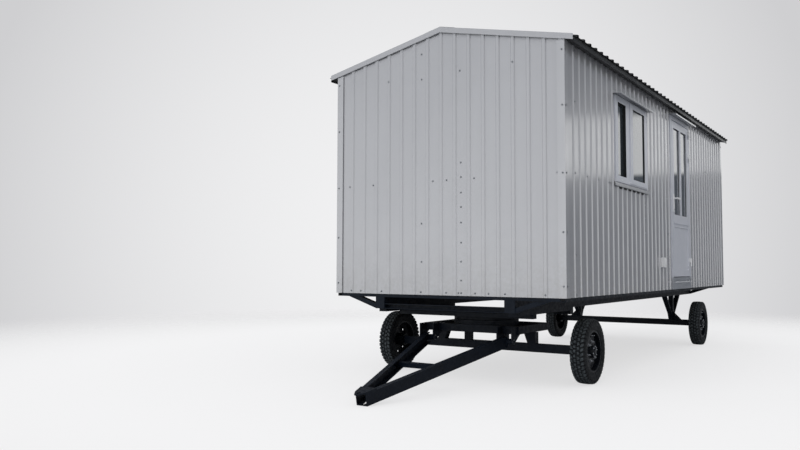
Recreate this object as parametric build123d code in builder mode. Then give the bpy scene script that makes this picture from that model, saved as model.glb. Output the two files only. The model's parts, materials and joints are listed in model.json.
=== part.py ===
"""Wheeled portable cabin with a steering turntable bogie, in millimetres.

X runs across the cabin towards the door side, Y towards its rear and Z up.
The origin lies on the ground, under the middle of the whole outline.
"""
import os
from math import asin, atan, cos, degrees, floor, hypot, radians, sin, tan

from build123d import *

os.makedirs("parts", exist_ok=True)

# Cabin body
body_length = 6250
body_width = 2400
wall_core = 88
cladding_depth = 12
cladding_sheet = 2
rib_pitch = 145
rib_crest = 26
rib_foot = 46
cladding_bottom = 815
wall_height = 2158

# Roof
roof_pitch = 12.25
deck_thickness = 30
roof_sheet_depth = 18
roof_sheet_gauge = 2
roof_rib_pitch = 150
eave_overhang = 80
end_overhang = 10
sheet_overhang = 22
barge_thickness = 4
fascia_depth = 46
fascia_gauge = 3
ridge_leg = 150
ridge_gauge = 3

# Floor and underframe
rail_depth = 80
rail_flange = 45
rail_gauge = 6
rail_bottom = 785
joist_count = 11
joist_width = 40
floor_thickness = 35
beam_width = 100
beam_depth = 110
beam_gauge = 7
beam_centre = 680
outrigger_reach = 330
outrigger_depth = 45
outrigger_width = 60
cross_depth = 48
cross_width = 60

# Wheels and axles
wheel_radius = 300
tyre_width = 154
rim_radius = 185
rim_flange = 10
rim_inset = 20
track = 2090
axle_size = 78
spindle_radius = 25
bearing_clearance = 0.05
hub_radius = 62
hub_reach = 68
cap_radius = 32
front_axle_inset = 897
wheelbase = 4379
disc_gauge = 8
disc_offset = 22
vent_circle = 132
vent_radius = 12
vent_holes = 8
web_outer = 152
rim_lip = 4
belly_out = 3
shoulder = 26
shoulder_drop = 9
groove_width = 9
groove_depth = 9
groove_spacing = 36
groove_count = 3

# Turntable
seat_clearance = 0.3
running_clearance = 5
bolster_length = 1440
bolster_width = 80
bolster_depth = 40
bolster_reach = 450
bearer_width = 80
bearer_depth = 30
bearer_front = 60
ring_radius = 320
ring_flange = 45
ring_gauge = 8
plate_thickness = 12
plate_size = 520
kingpin_radius = 30
kingpin_collar = 55
kingpin_nut = 45

# Bogie frame and drawbar
bogie_width = 1030
bogie_length = 700
bogie_tube = 61
bogie_depth = 72
post_width = 80
post_overhang = 25
post_taper = 40
post_spacing = 400
lug_gauge = 12
lug_gap = 138
lug_centre = 420
pivot_height = 385
pivot_ahead = 80
pin_radius = 15
eye_radius = 30
drawbar_length = 1690
channel_depth = 100
channel_width = 48
channel_gauge = 7
tip_spread = 27
nose_length = 55
tip_plate_length = 110
tip_plate_gauge = 12
nose_angle = 60
eye_bore = 16
eye_ahead = 26
brace_ahead = 830
brace_width = 45
brace_gauge = 40

# Rear axle supports
strut_thickness = 60
strut_width = 62
strut_spread = 380
strut_foot = 85
gusset_reach = 110
gusset_rise = 110
gusset_gauge = 10

# Windows
window_width = 1060
window_height = 850
window_inset = 1282
window_sill = 1905
frame_depth = 70
frame_proud = 8
window_border = 62
light_start = 75
light_end = 325
sash_start = 445
sash_end = 1015
sash_stile = 85
sash_rail = 50
sash_proud = 8
glass_thickness = 24
glass_recess = 30
sash_glass_recess = 11
canopy_reach = 90
canopy_lap = 45
canopy_rise = 30
canopy_fall = 8
canopy_clearance = 3
flashing_gauge = 2
flashing_lip = 14
sill_reach = 18
sill_fall = 12
sill_lip = 32
sill_lap = 50

# Door
door_inset = 3315
door_width = 905
door_height = 2035
jamb_width = 50
threshold_height = 90
nosing_height = 15
nosing_proud = 15
nosing_drop = 45
leaf_gap = 9
leaf_thickness = 60
stile = 80
mid_rail_height = 745
mid_rail = 150
pane_bar = 60
kick_panel_recess = 8
kick_panel_corner = 12
bead_inset = 37
bead_height = 14
bead_proud = 9
bead_drop = 102
stop_depth = 12
hinge_offset = 14
hinge_radius = 9
hinge_pin_radius = 5
hinge_length = 100
hinge_plate = 34
hinge_plate_gauge = 4
hinge_plate_lap = 12
hinge_low = 175
hinge_high = 75
hinge_pair = 300
handle_height = 935
handle_length = 130
handle_reach = 55
handle_gauge = 16
handle_width = 22
handle_stem = 9
handle_plate_length = 220
handle_plate_width = 30
handle_plate_gauge = 8
handle_plate_drop = 60

# Small box on the side wall, and the trims over the four corners
box_width = 75
box_height = 110
box_depth = 44
box_before_door = 410
box_corner = 8
box_bottom = 1075
trim_leg = 70

# Heights and places that follow from the sizes above
half_width = body_width / 2
core_face = half_width - cladding_depth
inner_face = core_face - wall_core
rail_top = rail_bottom + rail_depth
beam_bottom = rail_bottom - beam_depth
bearer_bottom = beam_bottom - bearer_depth
bolster_bottom = bearer_bottom - bolster_depth
bogie_top = bolster_bottom - 2 * ring_flange + running_clearance
ring_height = (bolster_bottom - bogie_top - running_clearance) / 2
bogie_bottom = bogie_top - bogie_depth
axle_top = wheel_radius + axle_size / 2
pitch = radians(roof_pitch)
eave_height = cladding_bottom + wall_height
ridge_underside = eave_height + half_width * tan(pitch)
deck_reach = half_width + eave_overhang
drawbar_angle = asin(pivot_height / hypot(drawbar_length, channel_depth / 2))
drawbar_angle -= atan(channel_depth / 2 / drawbar_length)
pivot_from_gable = front_axle_inset - bogie_length / 2 - pivot_ahead
drawbar_front = (drawbar_length + nose_length) * cos(drawbar_angle)
drawbar_front += (channel_depth / 2 + tip_plate_gauge) * sin(drawbar_angle) - pivot_from_gable
front = -(body_length + end_overhang + barge_thickness - drawbar_front) / 2
rear = front + body_length
middle_y = (front + rear) / 2
frame_length = body_length - 2 * cladding_depth
front_axle_y = front + front_axle_inset
rear_axle_y = front_axle_y + wheelbase
pivot_y = front + pivot_from_gable
wheel_centre = track / 2
hub_face = wheel_centre - tyre_width / 2
door_bottom = rail_top
door_y = front + door_inset + door_width / 2
window_y = front + window_inset + window_width / 2
window_z = window_sill + window_height / 2
opening_bottom = door_bottom + threshold_height


def save(builder, name):
    """Labels a finished piece and writes it."""
    builder.part.label = name
    export_step(builder.part, f"parts/{name}.step")


def roof_underside(x):
    """Height of the underside of the roof deck, x away from the middle."""
    return ridge_underside - abs(x) * tan(pitch)


def at_y(y):
    """The upright plane across the cabin at this y; a positive extrusion runs to its rear."""
    return Plane(origin=(0, y, 0), x_dir=(-1, 0, 0), z_dir=(0, 1, 0))


def at_x(x):
    """The upright plane along the cabin at this x; a positive extrusion runs towards +X."""
    return Plane(origin=(x, 0, 0), x_dir=(0, 1, 0), z_dir=(1, 0, 0))


def channel_section(depth, flange, gauge):
    """Draws a rolled channel, its web on local x = 0 and its flanges towards local +x."""
    Rectangle(flange, depth, align=(Align.MIN, Align.CENTER))
    with Locations((gauge, 0)):
        Rectangle(flange, depth - 2 * gauge, align=(Align.MIN, Align.CENTER), mode=Mode.SUBTRACT)


# The floor frame: channels along the sides and across the ends, and channel joists between
rail_middle = rail_bottom + rail_depth / 2
flange_tip = core_face - rail_flange

with BuildPart() as side_rails:
    for side in (-1, 1):
        end_face = Plane(
            origin=(side * core_face, middle_y, rail_middle),
            x_dir=(-side, 0, 0),
            z_dir=(0, side, 0),
        )
        with BuildSketch(end_face):
            channel_section(rail_depth, rail_flange, rail_gauge)
        extrude(amount=frame_length / 2, both=True)
save(side_rails, "side_rails")

with BuildPart() as end_rails:
    for way in (-1, 1):
        end_face = Plane(
            origin=(0, middle_y + way * frame_length / 2, rail_middle),
            x_dir=(0, -way, 0),
            z_dir=(-way, 0, 0),
        )
        with BuildSketch(end_face):
            channel_section(rail_depth, rail_flange, rail_gauge)
        extrude(amount=flange_tip, both=True)
save(end_rails, "end_rails")

with BuildPart() as floor_joists:
    joist_spacing = (frame_length - 2 * rail_flange) / (joist_count + 1)
    with BuildSketch(at_x(-flange_tip)):
        with Locations((middle_y - joist_width / 2, rail_middle)):
            with GridLocations(joist_spacing, 0, joist_count, 1):
                channel_section(rail_depth, joist_width, rail_gauge)
    extrude(amount=2 * flange_tip)
save(floor_joists, "floor_joists")

with BuildPart() as floor_panel:
    with BuildSketch(Plane.XY.offset(rail_top)):
        with Locations((0, middle_y)):
            Rectangle(2 * inner_face, body_length - 2 * (half_width - inner_face))
    extrude(amount=floor_thickness)
save(floor_panel, "floor_panel")

# The two main beams, closed box sections the length of the cabin
with BuildPart() as main_beam_right:
    with BuildSketch(at_x(beam_centre - beam_width / 2)):
        with Locations((middle_y, beam_bottom + beam_depth / 2)):
            Rectangle(frame_length, beam_depth)
    extrude(amount=beam_width)
    with BuildSketch(at_y(front)):
        with Locations((-beam_centre, beam_bottom + beam_depth / 2)):
            Rectangle(beam_width - 2 * beam_gauge, beam_depth - 2 * beam_gauge)
    extrude(amount=body_length - cladding_depth - beam_gauge, mode=Mode.SUBTRACT)
    with BuildSketch(at_y(front + cladding_depth)):
        with Locations((-beam_centre, beam_bottom + beam_depth / 2)):
            Rectangle(beam_width, beam_depth)
    extrude(amount=beam_gauge)
save(main_beam_right, "main_beam_right")

with BuildPart() as main_beam_left:
    mirror(main_beam_right.part, about=Plane.YZ)
save(main_beam_left, "main_beam_left")


def end_bracing(y):
    """A cross channel between the main beams and a slanting outrigger beyond each."""
    outer = beam_centre + beam_width / 2
    slope = beam_depth / outrigger_reach
    with BuildPart() as bracing:
        with BuildSketch(at_y(y - outrigger_width / 2)):
            with BuildLine():
                Polyline(
                    (outer, beam_bottom),
                    (outer + outrigger_reach, rail_bottom),
                    (outer + outrigger_reach - outrigger_depth / slope, rail_bottom),
                    (outer, beam_bottom + outrigger_depth),
                    close=True,
                )
            make_face()
            mirror(about=Plane.YZ)
        extrude(amount=outrigger_width)
        with BuildSketch(Plane.XY.offset(beam_bottom)):
            with Locations((0, y)):
                Rectangle(2 * (beam_centre - beam_width / 2), cross_width)
        extrude(amount=cross_depth)
        with BuildSketch(Plane.XY.offset(beam_bottom + rail_gauge)):
            with Locations((0, y - rail_gauge)):
                Rectangle(2 * (beam_centre - beam_width / 2), cross_width)
        extrude(amount=cross_depth - 2 * rail_gauge, mode=Mode.SUBTRACT)
    return bracing


bracing_inset = cladding_depth + outrigger_width / 2 + beam_gauge
save(end_bracing(front + bracing_inset), "front_bracing")
save(end_bracing(rear - bracing_inset), "rear_bracing")

# The walls: gables the full width, side walls between them, split at the doorway
with BuildPart() as front_wall:
    with BuildSketch(at_y(front + cladding_depth)):
        with BuildLine():
            Polyline(
                (-core_face, rail_top),
                (core_face, rail_top),
                (core_face, roof_underside(core_face)),
                (0, ridge_underside),
                (-core_face, roof_underside(core_face)),
                close=True,
            )
        make_face()
    extrude(amount=wall_core)
save(front_wall, "front_wall")

with BuildPart() as rear_wall:
    mirror(front_wall.part, about=Plane.XZ.offset(-middle_y))
save(rear_wall, "rear_wall")


def side_wall(side, start, end, bottom=rail_top):
    """A stretch of side wall whose top follows the roof."""
    with BuildPart() as wall:
        with BuildSketch(at_y(start)):
            with BuildLine():
                Polyline(
                    (-side * inner_face, bottom),
                    (-side * core_face, bottom),
                    (-side * core_face, roof_underside(core_face)),
                    (-side * inner_face, roof_underside(inner_face)),
                    close=True,
                )
            make_face()
        extrude(amount=end - start)
    return wall


def cut_window(wall, side):
    """The wall with its window opening."""
    with BuildPart() as opened:
        add(wall.part)
        with BuildSketch(at_x(side * (inner_face + wall_core / 2))):
            with Locations((window_y, window_z)):
                Rectangle(window_width, window_height)
        extrude(amount=wall_core, both=True, mode=Mode.SUBTRACT)
    return opened


wall_start = front + cladding_depth + wall_core
wall_end = rear - cladding_depth - wall_core
door_start = door_y - door_width / 2
door_end = door_y + door_width / 2
door_top = door_bottom + door_height
save(cut_window(side_wall(-1, wall_start, wall_end), -1), "left_wall")
save(cut_window(side_wall(1, wall_start, door_start), 1), "right_wall_front")
save(side_wall(1, door_end, wall_end), "right_wall_rear")
save(side_wall(1, door_start, door_end, door_top), "right_wall_over_door")


def rib_count(length, pitch_of_ribs, foot):
    """How many ribs a sheet of this length holds."""
    return int((length - foot) / pitch_of_ribs) + 1


def ribbed_section(length, depth, sheet, pitch_of_ribs, crest, foot):
    """Draws a folded sheet: local x along it, local y outwards, ribs centred on it."""
    count = rib_count(length, pitch_of_ribs, foot)
    lean = degrees(atan(2 * depth / (foot - crest)))
    with Locations((0, sheet / 2)):
        Rectangle(length, sheet)
    with GridLocations(pitch_of_ribs, 0, count, 1):
        Trapezoid(foot, depth, lean, align=(Align.CENTER, Align.MIN))
    with GridLocations(pitch_of_ribs, 0, count, 1):
        Trapezoid(
            foot - 2 * sheet,
            depth - sheet,
            lean,
            align=(Align.CENTER, Align.MIN),
            mode=Mode.SUBTRACT,
        )


def side_cladding(side):
    """The profiled sheet of one long side."""
    length = body_length - 2 * cladding_depth
    with BuildPart() as sheet:
        foot_plane = Plane(
            origin=(side * core_face, middle_y, cladding_bottom),
            x_dir=(0, -side, 0),
            z_dir=(0, 0, 1),
        )
        with BuildSketch(foot_plane):
            ribbed_section(length, cladding_depth, cladding_sheet, rib_pitch, rib_crest, rib_foot)
        extrude(amount=roof_underside(half_width) - cladding_bottom)
        with BuildSketch(at_x(side * core_face)):
            with Locations((window_y, window_z)):
                Rectangle(window_width, window_height)
            if side > 0:
                with Locations((door_y, (cladding_bottom + door_top) / 2)):
                    Rectangle(door_width, door_top - cladding_bottom)
        extrude(amount=2 * cladding_depth, both=True, mode=Mode.SUBTRACT)
    return sheet


with BuildPart() as side_claddings:
    add(side_cladding(-1).part)
    add(side_cladding(1).part)
save(side_claddings, "side_cladding")


def gable_cladding(y, outward):
    """The profiled sheet of one gable, cut to the roof line."""
    width = 2 * core_face
    with BuildPart() as sheet:
        foot_plane = Plane(origin=(0, y, cladding_bottom), x_dir=(outward, 0, 0), z_dir=(0, 0, 1))
        with BuildSketch(foot_plane):
            ribbed_section(width, cladding_depth, cladding_sheet, rib_pitch, rib_crest, rib_foot)
        extrude(amount=ridge_underside - cladding_bottom)
        with BuildSketch(at_y(y - 2 * cladding_depth)):
            with BuildLine():
                Polyline(
                    (-core_face, cladding_bottom),
                    (core_face, cladding_bottom),
                    (core_face, roof_underside(core_face)),
                    (0, ridge_underside),
                    (-core_face, roof_underside(core_face)),
                    close=True,
                )
            make_face()
        extrude(amount=4 * cladding_depth, mode=Mode.INTERSECT)
    return sheet


with BuildPart() as gable_claddings:
    add(gable_cladding(front + cladding_depth, -1).part)
    add(gable_cladding(rear - cladding_depth, 1).part)
save(gable_claddings, "gable_cladding")

# Upright angle trims over the four corners
with BuildPart() as corner_trims:
    trim_height = roof_underside(half_width + cladding_sheet) - cladding_bottom
    with BuildSketch(Plane.XY.offset(cladding_bottom)):
        with Locations((half_width + cladding_sheet, rear + cladding_sheet)):
            Rectangle(trim_leg, trim_leg, align=(Align.MAX, Align.MAX))
        with Locations((half_width, rear)):
            Rectangle(trim_leg, trim_leg, align=(Align.MAX, Align.MAX), mode=Mode.SUBTRACT)
        mirror(about=Plane.YZ)
        mirror(about=Plane.XZ.offset(-middle_y))
    extrude(amount=trim_height)
save(corner_trims, "corner_trims")

# The roof: two decks that meet at the ridge, folded sheets over them, a cap and barge boards
slope_length = deck_reach / cos(pitch)


def roof_deck(side):
    """One half of the roof deck, mitred at the ridge."""
    drop = deck_reach * tan(pitch)
    rise = deck_thickness / cos(pitch)
    with BuildPart() as deck:
        with BuildSketch(at_y(front - end_overhang)):
            with BuildLine():
                Polyline(
                    (0, ridge_underside),
                    (0, ridge_underside + rise),
                    (-side * deck_reach, ridge_underside + rise - drop),
                    (-side * deck_reach, ridge_underside - drop),
                    close=True,
                )
            make_face()
        extrude(amount=body_length + 2 * end_overhang)
    return deck


def roof_sheet(side):
    """The profiled sheet on one slope, its ribs running down to the eave."""
    ridge_top = ridge_underside + deck_thickness / cos(pitch)
    down = (side * cos(pitch), 0, -sin(pitch))
    with BuildPart() as sheet:
        start = Plane(origin=(0, middle_y, ridge_top), x_dir=(0, side, 0), z_dir=down)
        with BuildSketch(start.offset(roof_sheet_depth * tan(pitch))):
            ribbed_section(
                body_length + 2 * end_overhang - 2 * barge_thickness,
                roof_sheet_depth,
                roof_sheet_gauge,
                roof_rib_pitch,
                rib_crest,
                rib_foot,
            )
        extrude(amount=slope_length + sheet_overhang - roof_sheet_depth * tan(pitch))
    return sheet


for side, word in ((-1, "left"), (1, "right")):
    save(roof_deck(side), f"roof_deck_{word}")

with BuildPart() as roof_sheets:
    add(roof_sheet(-1).part)
    add(roof_sheet(1).part)
save(roof_sheets, "roof_sheets")

sheet_top = ridge_underside + (deck_thickness + roof_sheet_depth) / cos(pitch)
with BuildPart() as ridge_cap:
    with BuildSketch(at_y(front - end_overhang)):
        with BuildLine():
            cap_drop = ridge_leg * tan(pitch)
            cap_rise = ridge_gauge / cos(pitch)
            Polyline(
                (0, sheet_top),
                (ridge_leg, sheet_top - cap_drop),
                (ridge_leg, sheet_top - cap_drop + cap_rise),
                (0, sheet_top + cap_rise),
                (-ridge_leg, sheet_top - cap_drop + cap_rise),
                (-ridge_leg, sheet_top - cap_drop),
                close=True,
            )
        make_face()
    extrude(amount=body_length + 2 * end_overhang)
save(ridge_cap, "ridge_cap")

with BuildPart() as barge_boards:
    with BuildSketch(at_y(front - end_overhang - barge_thickness)):
        with BuildLine():
            board_rise = (deck_thickness + roof_sheet_depth) / cos(pitch)
            board_drop = deck_reach * tan(pitch)
            Polyline(
                (0, ridge_underside),
                (deck_reach, ridge_underside - board_drop),
                (deck_reach, ridge_underside - board_drop + board_rise),
                (0, ridge_underside + board_rise),
                (-deck_reach, ridge_underside - board_drop + board_rise),
                (-deck_reach, ridge_underside - board_drop),
                close=True,
            )
        make_face()
    extrude(amount=barge_thickness)
    mirror(about=Plane.XZ.offset(-middle_y))
save(barge_boards, "barge_boards")

with BuildPart() as eave_fascias:
    fascia_top = roof_underside(deck_reach + fascia_gauge) + deck_thickness / cos(pitch)
    with BuildSketch(at_y(front - end_overhang)):
        with Locations((deck_reach, fascia_top), (-deck_reach - fascia_gauge, fascia_top)):
            Rectangle(fascia_gauge, fascia_depth, align=(Align.MIN, Align.MAX))
    extrude(amount=body_length + 2 * end_overhang)
save(eave_fascias, "eave_fascias")


def window_frame(side):
    """A frame with a fixed light in front and an opening sash behind its upright bar."""
    front_edge = window_y - window_width / 2
    low = window_sill + window_border
    light = (front_edge + light_start, low, front_edge + light_end, low + window_height - 2 * window_border)
    sash_front = front_edge + sash_start
    sash_rear = front_edge + sash_end
    sash_inner = (sash_front + sash_stile, light[1], sash_rear - sash_stile, light[3])
    sash_outer = (sash_front, light[1] - sash_rail, sash_rear, light[3] + sash_rail)
    inner = side * (half_width + frame_proud - frame_depth)

    def panel(box, mode=Mode.ADD):
        """Draws the rectangle from a low to a high corner."""
        with Locations((box[0], box[1])):
            Rectangle(box[2] - box[0], box[3] - box[1], align=(Align.MIN, Align.MIN), mode=mode)

    with BuildPart() as frame:
        with BuildSketch(at_x(inner)):
            panel((front_edge, window_sill, front_edge + window_width, window_sill + window_height))
        extrude(amount=side * frame_depth)
        with BuildSketch(at_x(inner)):
            panel(sash_outer)
        extrude(amount=side * (frame_depth + sash_proud))
        with BuildSketch(at_x(inner)):
            panel(light)
            panel(sash_inner)
        extrude(amount=side * (frame_depth + sash_proud), mode=Mode.SUBTRACT)
    with BuildPart() as glass:
        sash_face = frame_depth + sash_proud - sash_glass_recess
        for box, back in ((light, frame_depth - glass_recess), (sash_inner, sash_face)):
            with BuildSketch(at_x(inner + side * (back - glass_thickness))):
                panel(box)
            extrude(amount=side * glass_thickness)
    return frame, glass


windows = [window_frame(-1), window_frame(1)]
with BuildPart() as window_frames:
    for frame, glass in windows:
        add(frame.part)
save(window_frames, "window_frames")
with BuildPart() as window_glass:
    for frame, glass in windows:
        add(glass.part)
save(window_glass, "window_glass")


def folded_strip(side, y, length, points):
    """A strip of folded sheet; its points are (how far out from the wall, height)."""
    with BuildPart() as strip:
        with BuildSketch(at_y(y - length / 2)):
            with BuildLine():
                Polyline(*[(-side * (half_width + out), z) for out, z in points], close=True)
            make_face()
        extrude(amount=length)
    return strip


def canopy(side, y, z, length):
    """A hood over an opening: an upstand on the wall, a top that falls outwards and a lip."""
    tip = z - canopy_fall
    return folded_strip(side, y, length, [
        (0, z + canopy_rise),
        (flashing_gauge, z + canopy_rise),
        (flashing_gauge, z + flashing_gauge),
        (canopy_reach, tip + flashing_gauge),
        (canopy_reach, tip - flashing_lip),
        (canopy_reach - flashing_gauge, tip - flashing_lip),
        (canopy_reach - flashing_gauge, tip),
        (0, z),
    ])


def sill(side, y, z, length):
    """A window sill: a top that falls outwards and a deep lip, both on a leg down the wall."""
    tip = z - sill_fall
    return folded_strip(side, y, length, [
        (0, z),
        (sill_reach, tip),
        (sill_reach, tip - sill_lip),
        (sill_reach - flashing_gauge, tip - sill_lip),
        (sill_reach - flashing_gauge, tip - flashing_gauge),
        (flashing_gauge, z - 2 * flashing_gauge),
        (flashing_gauge, tip - sill_lip),
        (0, tip - sill_lip),
    ])


window_head = window_sill + window_height
with BuildPart() as flashings:
    for side in (-1, 1):
        add(canopy(side, window_y, window_head + canopy_clearance, window_width + 2 * canopy_lap).part)
        add(sill(side, window_y, window_sill, window_width + 2 * sill_lap).part)
    add(canopy(1, door_y, door_top + canopy_clearance, door_width + 2 * canopy_lap).part)
save(flashings, "flashings")

# The door frame
frame_outer = half_width + frame_proud
frame_inner = frame_outer - leaf_thickness - running_clearance - stop_depth


def frame_bars(*corners):
    """Upright or level bars of the door frame, each from its low and its high corner."""
    with BuildPart() as bars:
        with BuildSketch(at_x(frame_inner)):
            for y_low, z_low, y_high, z_high in corners:
                with Locations((y_low, z_low)):
                    Rectangle(y_high - y_low, z_high - z_low, align=(Align.MIN, Align.MIN))
        extrude(amount=frame_outer - frame_inner)
    return bars


head_bottom = door_top - jamb_width
door_jambs = frame_bars(
    (door_start, opening_bottom, door_start + jamb_width, head_bottom),
    (door_end - jamb_width, opening_bottom, door_end, head_bottom),
)
save(door_jambs, "door_jambs")
save(frame_bars((door_start, head_bottom, door_end, door_top)), "door_head")

with BuildPart() as door_threshold:
    add(frame_bars((door_start, door_bottom, door_end, opening_bottom)).part)
    with BuildSketch(at_x(core_face)):
        with Locations((door_y, cladding_bottom)):
            Rectangle(door_width, door_bottom - cladding_bottom, align=(Align.CENTER, Align.MIN))
    extrude(amount=frame_outer - core_face)
    with BuildSketch(at_x(frame_outer)):
        with Locations((door_y, opening_bottom - nosing_drop)):
            Rectangle(door_width, nosing_height, align=(Align.CENTER, Align.MAX))
    extrude(amount=nosing_proud)
save(door_threshold, "door_threshold")

leaf_start = door_start + jamb_width + leaf_gap
leaf_end = door_end - jamb_width - leaf_gap
leaf_bottom = opening_bottom + leaf_gap
leaf_top = head_bottom - leaf_gap
leaf_inner = frame_outer - leaf_thickness
leaf_y = (leaf_start + leaf_end) / 2
pane_width = (leaf_end - leaf_start - 2 * stile - pane_bar) / 2
pane_bottom = leaf_bottom + mid_rail_height
pane_top = leaf_top - stile

with BuildPart() as door_leaf:
    with BuildSketch(at_x(leaf_inner)):
        with Locations((leaf_y, (leaf_bottom + leaf_top) / 2)):
            Rectangle(leaf_end - leaf_start, leaf_top - leaf_bottom)
    extrude(amount=leaf_thickness)
    with BuildSketch(at_x(leaf_inner)):
        with Locations((leaf_y, (pane_bottom + pane_top) / 2)):
            with GridLocations(pane_width + pane_bar, 0, 2, 1):
                Rectangle(pane_width, pane_top - pane_bottom)
    extrude(amount=leaf_thickness, mode=Mode.SUBTRACT)
    for plane, depth in ((at_x(frame_outer), -kick_panel_recess), (at_x(leaf_inner), kick_panel_recess)):
        with BuildSketch(plane):
            panel_top = pane_bottom - mid_rail
            with Locations((leaf_y, (leaf_bottom + stile + panel_top) / 2)):
                RectangleRounded(
                    2 * pane_width + pane_bar,
                    panel_top - leaf_bottom - stile,
                    kick_panel_corner,
                )
        extrude(amount=depth, mode=Mode.SUBTRACT)
    with BuildSketch(at_x(frame_outer)):
        with Locations((leaf_y, pane_bottom - bead_drop)):
            Rectangle(leaf_end - leaf_start - 2 * bead_inset, bead_height)
    extrude(amount=bead_proud)
save(door_leaf, "door_leaf")

with BuildPart() as door_glass:
    with BuildSketch(at_x(leaf_inner + (leaf_thickness - glass_thickness) / 2)):
        with Locations((leaf_y, (pane_bottom + pane_top) / 2)):
            with GridLocations(pane_width + pane_bar, 0, 2, 1):
                Rectangle(pane_width, pane_top - pane_bottom)
    extrude(amount=glass_thickness)
save(door_glass, "door_glass")

# Lever handles on both faces of the leaf
with BuildPart() as door_handle:
    handle_y = leaf_start + stile / 2
    handle_z = leaf_bottom + handle_height
    for face, outward in ((frame_outer, 1), (leaf_inner, -1)):
        with BuildSketch(at_x(face)):
            with Locations((handle_y, handle_z - handle_plate_drop)):
                SlotOverall(handle_plate_length, handle_plate_width, rotation=90)
        extrude(amount=outward * handle_plate_gauge)
        with BuildSketch(at_x(face)):
            with Locations((handle_y, handle_z)):
                Circle(handle_stem)
        extrude(amount=outward * handle_reach)
        with BuildSketch(at_x(face + outward * (handle_reach - handle_gauge))):
            with Locations((handle_y - handle_width / 2, handle_z)):
                SlotOverall(handle_length, handle_width, align=(Align.MIN, Align.CENTER))
        extrude(amount=outward * handle_gauge)
save(door_handle, "door_handle")

# Barrel hinges outside the rear edge: the pins stand on the jamb, the barrels hang on the leaf
hinge_x = frame_outer + hinge_offset
hinge_y = leaf_end + leaf_gap / 2
hinge_heights = [leaf_bottom + hinge_low, leaf_top - hinge_high - hinge_pair, leaf_top - hinge_high]


def hinge_leg(way):
    """Draws the bent plate of one hinge half: flat on its carrier, then out to the axis."""
    foot = hinge_plate - hinge_plate_lap
    with Locations((frame_outer, hinge_y + way * hinge_plate_lap)):
        corner = Align.MIN if way > 0 else Align.MAX
        Rectangle(hinge_plate_gauge, foot, align=(Align.MIN, corner))
    with Locations((frame_outer, hinge_y + way * hinge_pin_radius)):
        Rectangle(hinge_offset, hinge_plate_lap - hinge_pin_radius, align=(Align.MIN, corner))


with BuildPart() as hinge_barrels:
    for z in hinge_heights:
        with BuildSketch(Plane.XY.offset(z + seat_clearance)):
            with Locations((hinge_x, hinge_y)):
                Circle(hinge_radius)
            hinge_leg(-1)
            with Locations((hinge_x, hinge_y)):
                Circle(hinge_pin_radius + bearing_clearance, mode=Mode.SUBTRACT)
        extrude(amount=hinge_length / 2 - seat_clearance)
save(hinge_barrels, "hinge_barrels")

with BuildPart() as hinge_pins:
    for z in hinge_heights:
        with BuildSketch(Plane.XY.offset(z - hinge_length / 2)):
            with Locations((hinge_x, hinge_y)):
                Circle(hinge_radius)
            hinge_leg(1)
        extrude(amount=hinge_length / 2)
        with BuildSketch(Plane.XY.offset(z)):
            with Locations((hinge_x, hinge_y)):
                Circle(hinge_pin_radius)
        extrude(amount=hinge_length / 2)
save(hinge_pins, "hinge_pins")

# The box stands in the trough between two ribs
first_rib = middle_y - (rib_count(frame_length, rib_pitch, rib_foot) - 1) / 2 * rib_pitch
box_ribs = floor((door_start - box_before_door - first_rib) / rib_pitch)
with BuildPart() as socket_box:
    with BuildSketch(at_x(core_face + cladding_sheet)):
        with Locations((first_rib + (box_ribs + 1 / 2) * rib_pitch, box_bottom + box_height / 2)):
            RectangleRounded(box_width, box_height, box_corner)
    extrude(amount=box_depth)
save(socket_box, "socket_box")


def axle(y):
    """A square beam with a round spindle at each end."""
    beam_end = hub_face - running_clearance
    with BuildPart() as beam:
        with BuildSketch(at_x(-beam_end)):
            with Locations((y, wheel_radius)):
                Rectangle(axle_size, axle_size)
        extrude(amount=2 * beam_end)
        with BuildSketch(at_x(-wheel_centre)):
            with Locations((y, wheel_radius)):
                Circle(spindle_radius)
        extrude(amount=track)
    return beam


save(axle(front_axle_y), "front_axle")
save(axle(rear_axle_y), "rear_axle")


def rear_support(side):
    """A post, two splayed struts and a side gusset that carry one main beam."""
    with BuildPart() as support:
        with BuildSketch(at_x(side * beam_centre - strut_thickness / 2)):
            with Locations((rear_axle_y, (axle_top + beam_bottom) / 2)):
                Rectangle(strut_width, beam_bottom - axle_top)
            for way in (-1, 1):
                with BuildLine():
                    Polyline(
                        (rear_axle_y + way * strut_spread, beam_bottom),
                        (rear_axle_y + way * (strut_spread - strut_width), beam_bottom),
                        (rear_axle_y, axle_top),
                        (rear_axle_y + way * axle_size / 2, axle_top),
                        (rear_axle_y + way * strut_foot, axle_top + strut_foot),
                        close=True,
                    )
                make_face()
        extrude(amount=strut_thickness)
        with BuildSketch(at_y(rear_axle_y - gusset_gauge / 2)):
            with BuildLine():
                edge = beam_centre + strut_thickness / 2
                Polyline(
                    (-side * edge, axle_top),
                    (-side * (edge + gusset_reach), axle_top),
                    (-side * edge, axle_top + gusset_rise),
                    close=True,
                )
            make_face()
        extrude(amount=gusset_gauge)
    return support


save(rear_support(-1), "rear_support_left")
save(rear_support(1), "rear_support_right")

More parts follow.
